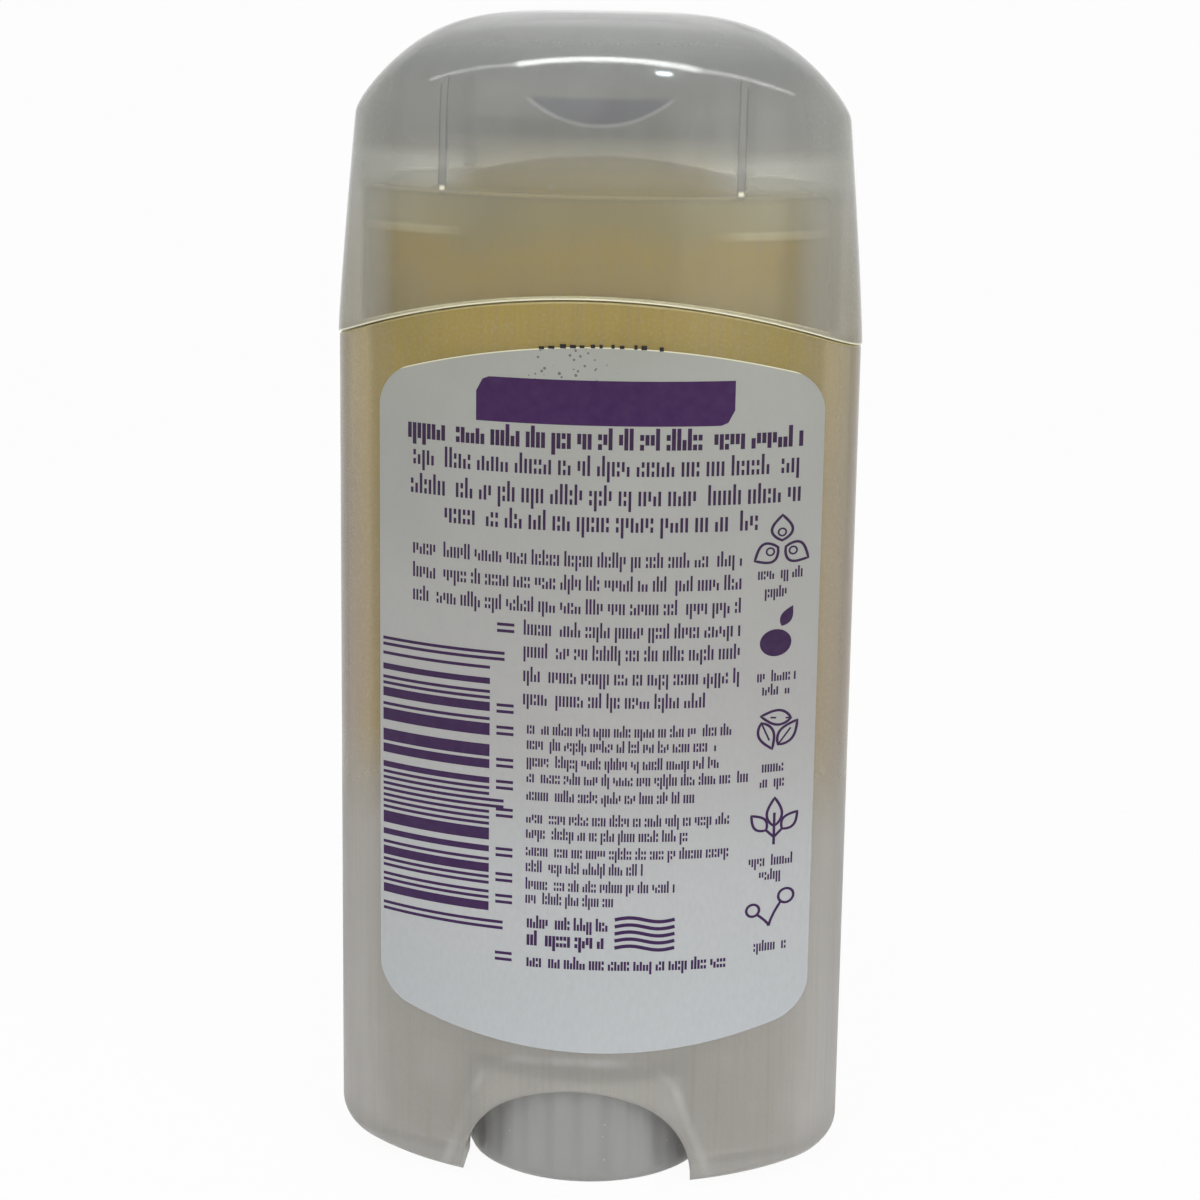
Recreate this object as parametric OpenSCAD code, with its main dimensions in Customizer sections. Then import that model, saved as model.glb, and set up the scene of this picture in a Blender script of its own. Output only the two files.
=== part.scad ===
// Deodorant stick: an oval twist-up pack with its gel, standing on its dial.
// The origin is at the middle of the dial's foot, +Z is up and the back label faces -Y.

/* [Oval pack] */
// Width of the barrel, side to side
pack_w = 60; // [56:0.5:66]
// Depth of the barrel, front to back
pack_d = 32; // [30:0.5:35]
// Radius of the two small end arcs of the oval
end_r = 9.5; // [8.5:0.25:10.5]
// Overall height, from the dial's foot to the top of the cap
pack_h = 134.8; // [130:0.1:142]
// Distance from the top of the cap down to the neck's rim
rim_drop = 19.5; // [18:0.1:22]

/* [Barrel] */
// Thickness of the clear wall below the shoulder
wall_t = 3.9; // [3.7:0.1:4.2]
// Step from the wall's face in to the neck's face
neck_step = 2.7; // [2.4:0.1:2.8]
// Chamfer on the outside of the neck's rim
rim_chamfer = 0.5; // [0.3:0.1:0.8]
// Distance from the top of the cap down to the two ends of the shoulder
shoulder_drop = 36.8; // [34.5:0.1:40]
// Rise of the arched shoulder in its middle
shoulder_rise = 6; // [3:0.5:7]
// Height of the barrel's lower edge above the ground
foot_z = 0.65; // [0.4:0.05:1.5]
// Rounding of the lower edge at its two ends, seen as the lower corners from the front
corner_r = 3.5; // [2:0.5:6]
// Rounding of the lower edge at the front and back
edge_r = 0.5; // [0.3:0.1:2]
// Rise of the lower edge from its middle to its ends
rocker = 0.8; // [0:0.1:1]
// Thickness of the bottom of the hollow feet
bottom_t = 2; // [1.5:0.1:3]
// Thickness of the floor over the dial
floor_t = 1.8; // [1.4:0.1:2.5]

/* [Thumb arches] */
// Width of the thumb arch at its foot
arch_w = 26.8; // [25:0.1:28]
// Height of the thumb arch's crown above the ground
arch_z = 11.9; // [10:0.1:12.2]
// Radius of the thumb arch over its crown
arch_crown_r = 19; // [15:0.5:24]
// Radius of the thumb arch at its two sides
arch_side_r = 10; // [8:0.5:12]

/* [Dial and screw] */
// Outside radius of the dial
dial_r = 14.4; // [13.5:0.1:14.6]
// Height of the dial
dial_h = 12.7; // [12.3:0.1:13.5]
// Number of grip flutes round the dial
flute_count = 26; // [12:1:40]
// Radius of each grip flute
flute_r = 2; // [1.2:0.1:3]
// Depth of each grip flute
flute_depth = 0.25; // [0.15:0.05:0.5]
// Thickness of the dial's skirt, top and ribs
dial_wall = 1.6; // [1.2:0.1:2.2]
// Number of ribs under the dial
dial_ribs = 6; // [3:1:8]
// Radius of the plain journal that turns in the floor
journal_r = 3.2; // [2.8:0.1:3.6]
// Crest radius of the feed thread
thread_r = 3; // [2.7:0.1:3.1]
// Depth of the feed thread
thread_depth = 0.8; // [0.6:0.05:0.9]
// Rise of the feed thread in one turn
lead = 4; // [3.6:0.1:5]
// Distance from the top of the cap down to the screw's tip
screw_drop = 37.8; // [34.5:0.1:55]

/* [Elevator and gel] */
// Height of the underside of the elevator's plate
plate_z = 42.3; // [36:0.1:50]
// Thickness of the elevator's plate
plate_t = 1.5; // [1.2:0.1:2.5]
// Height of the cup wall above the plate
cup_h = 6; // [4:0.5:9]
// Thickness of the cup wall
cup_t = 0.9; // [0.7:0.1:1.4]
// Wall thickness of the nut round its bore
nut_t = 2.4; // [2:0.1:3]
// Length of the nut below the plate
nut_drop = 4; // [3:0.5:8]
// Length of the nut above the plate
nut_rise = 7; // [5:0.5:9]
// Height of the ribs that key the gel
key_h = 4; // [2:0.5:5]
// Distance from the neck's rim down to the gel's edge at the wall
gel_drop = 4.8; // [3.5:0.1:9]
// Rise of the gel's dome above its edge
dome_rise = 8.1; // [4:0.1:9]

/* [Cap] */
// Least thickness of the cap's wall
cap_t = 1.1; // [0.9:0.05:1.2]
// Thickness of the cap's crown at its top
crown_t = 1.2; // [1:0.1:1.8]
// Inward draft of the cap's wall, from its lip to its crown
cap_draft = 2.05; // [1:0.05:2.2]
// Height of the crown above the drafted wall
crown_h = 11.6; // [10:0.1:16]
// Share by which the crown falls towards its two ends
crown_fall = 0.5; // [0:0.01:0.6]
// Fullness of the crown seen from above: 0.5 is a true quarter round, and less is fuller
crown_full = 0.48; // [0.4:0.01:0.6]
// How far the cap's lip stands proud of the barrel's face
lip_proud = 0.15; // [0.13:0.01:0.25]
// Distance of each stop rib from the cap's middle
rib_x = 16.5; // [12:0.5:19]
// Thickness of a stop rib
rib_t = 0.8; // [0.6:0.1:1.4]
// Height of a stop rib
rib_h = 12.3; // [6:0.1:13]

/* [Back label] */
// Width of the label, straight across
label_w = 50.2; // [44:0.1:51]
// Sideways place of the label's middle
label_x = 1.2; // [-1.2:0.1:1.2]
// Height of the label's lower edge in its middle
label_low = 17; // [15:0.5:24]
// Distance from the shoulder's ends up to the label's upper edge in its middle
label_lift = 1.1; // [-12:0.1:1.5]
// Radius of the label's arched lower and upper edges
label_arch_r = 76; // [60:1:120]
// Sideways place of the middle of those arches
label_arch_x = 1.9; // [-2:0.1:2]
// Radius of the label's corners
label_corner_r = 3.5; // [1:0.5:6]
// Thickness of the label film
label_t = 0.1; // [0.06:0.01:0.12]

/* [Fits] */
// Gap between the elevator or the gel and the barrel's bore
slide_gap = 0.2; // [0.15:0.05:0.3]
// Gap between parts that move past each other without a fit
free_gap = 0.3; // [0.25:0.05:0.5]
// Gap between the cap and what it rests on
cap_gap = 0.25; // [0.2:0.05:0.4]
// Radial clearance of the journal and of the nut's bore
run_gap = 0.05; // [0.03:0.01:0.1]
// Gap between the gel and what it was poured round, and under the label
pour_gap = 0.03; // [0.02:0.01:0.05]

/* [Hidden] */
$fn = 96;

// The oval: two end arcs and two broad arcs that meet tangent to one another
half_w = pack_w / 2;
half_d = pack_d / 2;
end_cx = half_w - end_r;
broad_r = (end_cx * end_cx + half_d * half_d - end_r * end_r) / (2 * (half_d - end_r));
broad_cy = broad_r - half_d;
end_span = atan2(broad_cy, end_cx);
broad_span = 90 - end_span;
END_STEPS = 12;
BROAD_STEPS = 24;
N = 2 * (END_STEPS + BROAD_STEPS);

// Heights and radii that follow from the driving sizes
rim_z = pack_h - rim_drop;
shoulder_z = pack_h - shoulder_drop;
screw_top = pack_h - screw_drop;
gel_edge_z = rim_z - gel_drop;
label_high = shoulder_z + label_lift;
shoulder_r = (half_w * half_w + shoulder_rise * shoulder_rise) / (2 * shoulder_rise);
floor_top = dial_h + free_gap + floor_t;
pocket_top_r = dial_r + free_gap;
pocket_low_r = pocket_top_r + 0.8;
pocket_wall = 1.5;
screw_root_r = thread_r - thread_depth;
plate_top = plate_z + plate_t;
nut_low = plate_z - nut_drop;
nut_top = plate_top + nut_rise;
nut_r = thread_r + run_gap + nut_t;
cup_gap = wall_t + slide_gap;
stop_z = nut_low - free_gap;
stop_h = 2;
rib_slope = 1.5;
thread_z = stop_z + 1;
snap_h = 2.4;
snap_r = journal_r + 0.7;
crown_z = pack_h - crown_h;

// Height of the arched shoulder at a distance x from the middle
function shoulder_at(x) =
    shoulder_z + shoulder_rise - shoulder_r + sqrt(shoulder_r * shoulder_r - x * x);

// Height and rounding of the lower edge there: the rounding grows towards the ends
function foot_at(x) = foot_z + rocker * pow(x / half_w, 2);
function foot_round(x) = edge_r + (corner_r - edge_r) * pow(x / half_w, 4);

// Point i of the oval, moved inwards by inset: first the +X end, then counter-clockwise
function arc_point(cx, cy, r, a) = [cx + r * cos(a), cy + r * sin(a)];
function oval_point(i, inset) =
    let(q = (i + END_STEPS / 2) % N, half = N / 2, far = q >= half, k = far ? q - half : q,
        p = k < END_STEPS
            ? arc_point(end_cx, 0, end_r - inset, -end_span + 2 * end_span * k / END_STEPS)
            : arc_point(0, -broad_cy, broad_r - inset,
                        end_span + 2 * broad_span * (k - END_STEPS) / BROAD_STEPS))
    far ? -p : p;

// Half depth of the inset oval at a distance x, on its broad arcs
function broad_at(x, inset) = sqrt(pow(broad_r - inset, 2) - x * x) - broad_cy;

// A closed skin over rings of N points, with a flat or ruled sheet over its first and last ring
function ring_sides(count) = [
    for (k = [0:count - 2], i = [0:N - 1])
        let(a = k * N + i, b = k * N + (i + 1) % N)
        each [[a, a + N, b], [b, a + N, b + N]]
];
function sheet(base, up) = [
    for (k = [0:N / 2 - 1])
        let(a = base + k, b = base + k + 1, c = base + (N - k) % N, d = base + N - k - 1,
            near = k == 0 ? [[a, b, d]] : k == N / 2 - 1 ? [[a, b, c]] : [[a, b, c], [c, b, d]])
        each [for (t = near) up ? [t[2], t[1], t[0]] : t]
];
module skin(rings) {
    points = [for (ring = rings) each ring];
    last = (len(rings) - 1) * N;
    polyhedron(points, concat(ring_sides(len(rings)), sheet(0, false), sheet(last, true)));
}

// Barrel

// The block's rings: the rounded foot, the arched shoulder, the step and the chamfered neck
function foot_ring(a) = [
    for (i = [0:N - 1])
        let(x = oval_point(i, 0)[0], r = foot_round(x), p = oval_point(i, r * (1 - cos(a))))
        [p[0], p[1], foot_at(x) + r * (1 - sin(a))]
];
function shoulder_ring(inset) = [
    for (i = [0:N - 1]) let(p = oval_point(i, inset)) [p[0], p[1], shoulder_at(p[0])]
];
function flat_ring(inset, z) = [for (i = [0:N - 1]) let(p = oval_point(i, inset)) [p[0], p[1], z]];

module oval_block(inset, z0, z1) translate([0, 0, z0])
    linear_extrude(z1 - z0) polygon([for (p = flat_ring(inset, 0)) [p[0], p[1]]]);

module barrel_block() skin([
    foot_ring(90), foot_ring(65), foot_ring(40), foot_ring(20), foot_ring(0),
    shoulder_ring(0), shoulder_ring(neck_step),
    flat_ring(neck_step, rim_z - rim_chamfer), flat_ring(neck_step + rim_chamfer, rim_z)
]);

// The round pocket that the dial turns in, or the shell round it
module pocket(grow, z_top) rotate_extrude() polygon([
    [0, -1], [pocket_low_r + grow, -1], [pocket_low_r + grow, foot_z],
    [pocket_top_r + grow, z_top - 1], [pocket_top_r + grow - 1, z_top], [0, z_top]
]);

// A three-centred arch: a broad crown arc that runs tangent into two smaller side arcs
arch_cz = arch_z - arch_crown_r;
arch_side_x = arch_w / 2 - arch_side_r;
arch_side_z = arch_cz + sqrt(pow(arch_crown_r - arch_side_r, 2) - pow(arch_side_x, 2));
arch_turn = atan2(arch_side_x, arch_side_z - arch_cz);
ARCH_STEPS = 8;

function arch_arc(cx, cz, r, from, to) = [
    for (k = [0:ARCH_STEPS - 1])
        let(a = from + (to - from) * (k + 0.5) / ARCH_STEPS)
        [cx + r * cos(a), cz + r * sin(a)]
];

module thumb_arch() rotate([90, 0, 0]) linear_extrude(pack_d + 2, center = true) polygon(concat(
    [[arch_w / 2, -2]],
    arch_arc(arch_side_x, arch_side_z, arch_side_r, 0, 90 - arch_turn),
    arch_arc(0, arch_cz, arch_crown_r, 90 - arch_turn, 90 + arch_turn),
    arch_arc(-arch_side_x, arch_side_z, arch_side_r, 90 + arch_turn, 180),
    [[-arch_w / 2, -2]]
));

module barrel() color([0.8, 0.81, 0.79, 0.6]) difference() {
    barrel_block();
    difference() {
        oval_block(wall_t, foot_z + bottom_t, rim_z + 1);
        pocket(pocket_wall, floor_top);
    }
    pocket(0, dial_h + free_gap);
    thumb_arch();
    cylinder(r = journal_r + run_gap, h = rim_z);
}

// Cap: the powers by which its wall leans in, its crown rises and its crown falls to the ends
WALL_POWER = 1.17;
RISE_POWER = 1.17;
FALL_POWER = 4;

// How far the wall's outer and inner faces lie inside the oval, at a height z and a distance x
function lip_at(x) = shoulder_at(x) + cap_gap;
function outer_inset(z, x) =
    -lip_proud + cap_draft * pow(max(0, z - lip_at(x)) / (crown_z - lip_at(x)), WALL_POWER);
function inner_inset(z, x) = max(neck_step - cap_gap, outer_inset(z, x) + cap_t);
function inset_at(z, x, inner) = inner ? inner_inset(z, x) : outer_inset(z, x);
function lip_x(i, inner) = oval_point(i, inner ? neck_step - cap_gap : -lip_proud)[0];

// Ring of the wall at a share v of the way from the lip to the crown
function wall_ring(v, inner) = [
    for (i = [0:N - 1])
        let(x = lip_x(i, inner), z = lip_at(x) + (crown_z - lip_at(x)) * v,
            p = oval_point(i, inset_at(z, x, inner)))
        [p[0], p[1], z]
];

// Ring of the crown at an angle a: 0 joins the wall and 90 is the top
function fall_at(x) = 1 - crown_fall * pow(abs(x) / half_w, FALL_POWER);
function crown_ring(a, inner) =
    let(rise = (crown_h - (inner ? crown_t : 0)) * pow(sin(a), RISE_POWER), z = crown_z + rise,
        s = pow(cos(a), crown_full))
    [for (i = [0:N - 1])
        let(x = lip_x(i, inner), p = s * oval_point(i, inset_at(z, x, inner)))
        [p[0], p[1], crown_z + rise * fall_at(p[0])]];

CAP_WALL = [0, 0.2, 0.4, 0.6, 0.8];
CAP_CROWN = [0, 10, 20, 30, 40, 50, 59, 67, 74, 80, 85, 88.6];

module cap_shell() skin(concat(
    [for (k = [len(CAP_CROWN) - 1:-1:0]) crown_ring(CAP_CROWN[k], true)],
    [for (k = [len(CAP_WALL) - 1:-1:0]) wall_ring(CAP_WALL[k], true)],
    [for (v = CAP_WALL) wall_ring(v, false)],
    [for (a = CAP_CROWN) crown_ring(a, false)]
));

// A stop rib from the rim up: its outer edge lies inside the wall and its inner edge clears the gel
module stop_rib() {
    low_z = rim_z + cap_gap;
    sink = cap_t / 2;
    crown_rise = crown_h * fall_at(rib_x);
    top_a = asin(pow((low_z + rib_h - crown_z) / crown_rise, 1 / RISE_POWER));
    wall_edge = [
        for (z = [low_z, (low_z + crown_z) / 2])
            [broad_at(rib_x, outer_inset(z, rib_x) + sink), z]
    ];
    crown_edge = [
        for (k = [0:5])
            let(a = top_a * k / 5, s = pow(cos(a), crown_full), rise = pow(sin(a), RISE_POWER))
            [s * broad_at(rib_x / s, outer_inset(crown_z + crown_h * rise, rib_x) + sink),
             crown_z + crown_rise * rise]
    ];
    inner_y = broad_at(rib_x, wall_t + slide_gap - free_gap);
    inner_edge = [[inner_y, low_z + rib_h - rib_slope], [inner_y, low_z]];
    translate([rib_x - rib_t / 2, 0, 0]) rotate([90, 0, 90])
        linear_extrude(rib_t) polygon(concat(wall_edge, crown_edge, inner_edge));
}

module cap() color([0.85, 0.86, 0.86, 0.45]) {
    cap_shell();
    for (side = [0, 1], face = [0, 1]) mirror([side, 0, 0]) mirror([0, face, 0]) stop_rib();
}

// Back label

module label_outline() {
    inner_w = label_w - 2 * label_corner_r;
    arch_r = label_arch_r - label_corner_r;
    offset(r = label_corner_r) intersection() {
        translate([label_arch_x, label_high - label_arch_r]) circle(arch_r, $fn = 360);
        translate([label_arch_x, label_low + label_arch_r]) circle(arch_r, $fn = 360);
        translate([label_x - inner_w / 2, 0]) square([inner_w, rim_z]);
    }
}

module back_label() color([0.86, 0.87, 0.9]) intersection() {
    linear_extrude(rim_z) difference() {
        translate([0, broad_cy]) circle(broad_r + pour_gap + label_t, $fn = 360);
        translate([0, broad_cy]) circle(broad_r + pour_gap, $fn = 360);
    }
    rotate([90, 0, 0]) linear_extrude(pack_d) label_outline();
}

// Screw

// Helical ridge: a profile of [radius, height] points swept round from z0 for a number of turns
module helix(profile, z0, turns, steps) {
    count = round(turns * steps);
    m = len(profile);
    points = [
        for (k = [0:count], q = profile)
            let(a = 360 * k / steps)
            [q[0] * cos(a), q[0] * sin(a), z0 + lead * k / steps + q[1]]
    ];
    sides = [
        for (k = [0:count - 1], j = [0:m - 1])
            let(a = k * m + j, b = k * m + (j + 1) % m)
            each [[a, a + m, b], [b, a + m, b + m]]
    ];
    ends = [[for (j = [0:m - 1]) j], [for (j = [m - 1:-1:0]) count * m + j]];
    polyhedron(points, concat(sides, ends));
}

THREAD_STEPS = 18;
ridge_foot = lead * 0.24;
ridge_crest = lead * 0.13;

module thread() {
    turns = floor((screw_top - 1.5 - thread_z) / lead);
    helix([[screw_root_r - 0.4, ridge_foot], [thread_r, ridge_crest],
           [thread_r, -ridge_crest], [screw_root_r - 0.4, -ridge_foot]],
          thread_z + ridge_foot, turns, THREAD_STEPS);
}

module dial() difference() {
    rotate_extrude() polygon([
        [0, 0.8], [dial_r - dial_wall, 0.8], [dial_r - dial_wall, 0], [dial_r - 0.7, 0],
        [dial_r - 0.2, 0.3], [dial_r, 0.9], [dial_r, dial_h - 0.6], [dial_r - 0.6, dial_h], [0, dial_h]
    ]);
    difference() {
        translate([0, 0, -1]) cylinder(r = dial_r - dial_wall, h = dial_h - dial_wall + 1);
        cylinder(r = journal_r + dial_wall, h = dial_h);
        for (k = [0:dial_ribs - 1]) rotate(360 * k / dial_ribs)
            translate([0, -dial_wall / 2, 0.8]) cube([dial_r, dial_wall, dial_h]);
    }
    for (k = [0:flute_count - 1]) rotate(360 * (k + 0.5) / flute_count)
        translate([dial_r + flute_r - flute_depth, 0, 1.2]) cylinder(r = flute_r, h = dial_h, $fn = 32);
}

module dial_screw() color([0.75, 0.77, 0.8]) {
    dial();
    rotate_extrude() polygon([
        [0, dial_h - dial_wall], [journal_r, dial_h - dial_wall], [journal_r, floor_top + free_gap],
        [snap_r, floor_top + free_gap], [snap_r, floor_top + free_gap + 0.8],
        [journal_r - 0.4, floor_top + free_gap + snap_h], [screw_root_r, floor_top + free_gap + snap_h + 1],
        [screw_root_r, stop_z - stop_h - 1], [thread_r + 1, stop_z - stop_h], [thread_r + 1, stop_z],
        [screw_root_r, stop_z], [screw_root_r, screw_top - 1], [screw_root_r - 1, screw_top], [0, screw_top]
    ]);
    thread();
}

// Elevator and gel

// Two long ribs and two short ones that key the gel to the cup
module key_ribs(grow) {
    for (side = [0, 180]) rotate(side) translate([nut_r - 0.5, -0.6 - grow, plate_top - 0.5])
        cube([half_w - cup_gap - cup_t - nut_r + 0.4 + grow, 1.2 + 2 * grow, key_h + 0.5 + grow]);
    for (side = [90, 270]) rotate(side) translate([nut_r - 0.5, -0.6 - grow, plate_top - 0.5])
        cube([half_d - cup_gap - cup_t - nut_r + 0.4 + grow, 1.2 + 2 * grow, key_h + 0.5 + grow]);
}

module elevator() color([0.86, 0.87, 0.85]) {
    difference() {
        union() {
            difference() {
                oval_block(cup_gap, plate_z, plate_top + cup_h);
                oval_block(cup_gap + cup_t, plate_top, plate_top + cup_h + 1);
            }
            translate([0, 0, nut_low]) cylinder(r = nut_r, h = nut_top - nut_low);
            key_ribs(0);
        }
        translate([0, 0, nut_low - 1]) cylinder(r = thread_r + run_gap, h = nut_top - nut_low + 2);
    }
    nut_thread();
}

// One turn and a half of thread inside the nut, riding midway between the screw's ridges
module nut_thread() {
    side_gap = 0.25;
    half_room = lead / 2 - ridge_crest - side_gap;
    tip_room = lead / 2 - ridge_foot - side_gap;
    helix([[screw_root_r + 0.25, -tip_room], [screw_root_r + 0.25, tip_room],
           [thread_r + 0.5, half_room], [thread_r + 0.5, -half_room]],
          thread_z + ridge_foot + lead / 2, 1.5, 24);
}

// The gel's rings: the part in the cup, the part that meets the bore and the domed top
function dome_ring(s) = [
    for (i = [0:N - 1])
        let(p = s * oval_point(i, wall_t + slide_gap))
        [p[0], p[1], gel_edge_z + dome_rise * (1 - s * s)]
];

DOME_SHARES = [1, 0.93, 0.86, 0.78, 0.69, 0.59, 0.48, 0.36, 0.23, 0.1];

module gel_block() {
    in_cup = cup_gap + cup_t + pour_gap;
    cup_top = plate_top + cup_h;
    skin(concat(
        [flat_ring(in_cup, plate_top), flat_ring(in_cup, cup_top), flat_ring(cup_gap, cup_top)],
        [for (s = DOME_SHARES) dome_ring(s)]
    ));
}

module gel_stick() color([0.83, 0.76, 0.5]) difference() {
    gel_block();
    translate([0, 0, plate_top - 1]) {
        cylinder(r = thread_r + free_gap, h = screw_top + free_gap - plate_top + 1);
        cylinder(r = nut_r + pour_gap, h = nut_top + pour_gap - plate_top + 1);
    }
    key_ribs(pour_gap);
}

barrel();
cap();
back_label();
gel_stick();
dial_screw();
elevator();
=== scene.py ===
import math

import bmesh
import bpy
import numpy as np
from mathutils import Matrix


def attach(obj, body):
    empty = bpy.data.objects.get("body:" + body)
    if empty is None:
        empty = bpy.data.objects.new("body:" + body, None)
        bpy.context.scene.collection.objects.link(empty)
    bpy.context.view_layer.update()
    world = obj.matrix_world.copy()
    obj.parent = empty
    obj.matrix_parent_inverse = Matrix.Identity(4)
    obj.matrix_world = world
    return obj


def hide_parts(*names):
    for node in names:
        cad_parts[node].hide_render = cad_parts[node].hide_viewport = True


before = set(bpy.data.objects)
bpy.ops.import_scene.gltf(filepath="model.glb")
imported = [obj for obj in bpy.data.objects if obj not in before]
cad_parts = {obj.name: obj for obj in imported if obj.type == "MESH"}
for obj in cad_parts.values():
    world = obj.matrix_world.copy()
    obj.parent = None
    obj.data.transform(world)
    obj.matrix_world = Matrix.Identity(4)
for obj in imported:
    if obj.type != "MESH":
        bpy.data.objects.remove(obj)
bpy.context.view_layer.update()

# Sizes of the pack in millimetres, as in the part's source
MM = 0.001
PACK_W, PACK_D, PACK_H, END_R = 60.0, 32.0, 134.8, 9.5
RIM_Z, SHOULDER_Z, SHOULDER_RISE = 115.3, 98.0, 6.0
WALL_T, NECK_STEP = 3.9, 2.7
FOOT_Z, CORNER_R, EDGE_R, ROCKER, BOTTOM_T = 0.65, 3.5, 0.5, 0.8, 2.0
ARCH_W, ARCH_Z, ARCH_CROWN_R, ARCH_SIDE_R = 26.8, 11.9, 19.0, 10.0
DIAL_R, DIAL_H, DIAL_WALL, DIAL_RIBS = 14.4, 12.7, 1.6, 6
FLUTE_COUNT, FLUTE_R, FLUTE_DEPTH = 26, 2.0, 0.25
JOURNAL_R, THREAD_R, THREAD_DEPTH, LEAD = 3.2, 3.0, 0.8, 4.0
PLATE_Z, PLATE_T, CUP_H, CUP_T = 42.3, 1.5, 6.0, 0.9
NUT_T, NUT_DROP, NUT_RISE, KEY_H = 2.4, 4.0, 7.0, 4.0
GEL_EDGE_Z, DOME_RISE, SCREW_TOP = 110.5, 8.1, 97.0
CAP_T, CROWN_T, CAP_DRAFT, CROWN_H, LIP_PROUD = 1.1, 1.2, 2.05, 11.6, 0.15
CROWN_FALL, CROWN_FULL, WALL_POWER, RISE_POWER, FALL_POWER = 0.5, 0.48, 1.17, 1.17, 4
RIB_X, RIB_T, RIB_H, RIB_SLOPE = 16.5, 0.8, 12.3, 1.5
LABEL_W, LABEL_X, LABEL_LOW, LABEL_HIGH = 50.2, 1.2, 17.0, 99.1
LABEL_ARCH_R, LABEL_ARCH_X, LABEL_CORNER_R, LABEL_T = 76.0, 1.9, 3.5, 0.1
SLIDE_GAP, FREE_GAP, CAP_GAP, RUN_GAP, POUR_GAP = 0.2, 0.3, 0.25, 0.05, 0.03

HALF_W, HALF_D = PACK_W / 2, PACK_D / 2
END_CX = HALF_W - END_R
BROAD_R = (END_CX**2 + HALF_D**2 - END_R**2) / (2 * (HALF_D - END_R))
BROAD_CY = BROAD_R - HALF_D
END_SPAN = math.atan2(BROAD_CY, END_CX)
SHOULDER_R = (HALF_W**2 + SHOULDER_RISE**2) / (2 * SHOULDER_RISE)
CROWN_Z = PACK_H - CROWN_H
FLOOR_TOP = DIAL_H + FREE_GAP + 1.8
POCKET_TOP_R = DIAL_R + FREE_GAP
POCKET_LOW_R = POCKET_TOP_R + 0.8
POCKET_WALL = 1.5
PLATE_TOP = PLATE_Z + PLATE_T
NUT_LOW, NUT_TOP = PLATE_Z - NUT_DROP, PLATE_TOP + NUT_RISE
NUT_R = THREAD_R + RUN_GAP + NUT_T
CUP_GAP = WALL_T + SLIDE_GAP
SCREW_ROOT_R = THREAD_R - THREAD_DEPTH
STOP_Z = NUT_LOW - FREE_GAP
THREAD_Z = STOP_Z + 1
SNAP_R = JOURNAL_R + 0.7


# The oval and its rings


def oval_rays(end_steps, broad_steps):
    """The oval's points as centre, direction and radius of their arcs: the
    +X end arc, the back arc, and the same two turned by half a turn."""
    right = np.linspace(-END_SPAN, END_SPAN, end_steps, endpoint=False)
    back = np.linspace(END_SPAN, math.pi - END_SPAN, broad_steps, endpoint=False)
    angle = np.concatenate([right, back, right + math.pi, back + math.pi])
    radius = np.tile(np.repeat([END_R, BROAD_R], [end_steps, broad_steps]), 2)
    centre_x = np.repeat([END_CX, 0, -END_CX, 0], [end_steps, broad_steps] * 2)
    centre_y = np.repeat([0, -BROAD_CY, 0, BROAD_CY], [end_steps, broad_steps] * 2)
    return centre_x, centre_y, np.cos(angle), np.sin(angle), radius


RAYS = oval_rays(36, 84)


def rings(inset, z, scale=1.0):
    """The oval moved inwards by inset, drawn in by scale and set
    at height z. The three broadcast to (rings, points)."""
    centre_x, centre_y, cos, sin, radius = RAYS
    x = (centre_x + (radius - inset) * cos) * scale
    y = (centre_y + (radius - inset) * sin) * scale
    return np.stack(np.broadcast_arrays(x, y, z), -1)


def oval_x(inset):
    """The x of every point of the inset oval."""
    return RAYS[0] + (RAYS[4] - inset) * RAYS[2]


def shoulder_at(x):
    """Height of the arched shoulder: a circle of radius SHOULDER_R whose top is at the middle."""
    return SHOULDER_Z + SHOULDER_RISE - SHOULDER_R + np.sqrt(SHOULDER_R**2 - x**2)


def foot_at(x):
    """Height of the lower edge, which rises with the square of x."""
    return FOOT_Z + ROCKER * (x / HALF_W) ** 2


def foot_round(x):
    """Rounding of the lower edge, which grows with the fourth power of x."""
    return EDGE_R + (CORNER_R - EDGE_R) * (x / HALF_W) ** 4


def broad_at(x, inset=0.0):
    """Half depth of the inset oval at x, on its broad arcs."""
    return np.sqrt((BROAD_R - inset) ** 2 - x**2) - BROAD_CY


def quarter(steps):
    """Angles of a quarter round, from 0 to 90 degrees, as a column."""
    return np.linspace(0, math.pi / 2, steps)[:, None]


# Meshes


def make(name, points, faces, sharp=32, closed=True):
    """A mesh from points in millimetres, shaded smooth up to
    the angle sharp, with its faces turned outwards."""
    mesh = bpy.data.meshes.new(name)
    mesh.from_pydata((np.asarray(points) * MM).tolist(), [], faces)
    if closed:
        work = bmesh.new()
        work.from_mesh(mesh)
        bmesh.ops.remove_doubles(work, verts=work.verts, dist=1e-7)
        bmesh.ops.recalc_face_normals(work, faces=work.faces)
        work.to_mesh(mesh)
        work.free()
    mesh.shade_smooth()
    mesh.set_sharp_from_angle(angle=math.radians(sharp))
    piece = bpy.data.objects.new(name, mesh)
    bpy.context.collection.objects.link(piece)
    return piece


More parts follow.
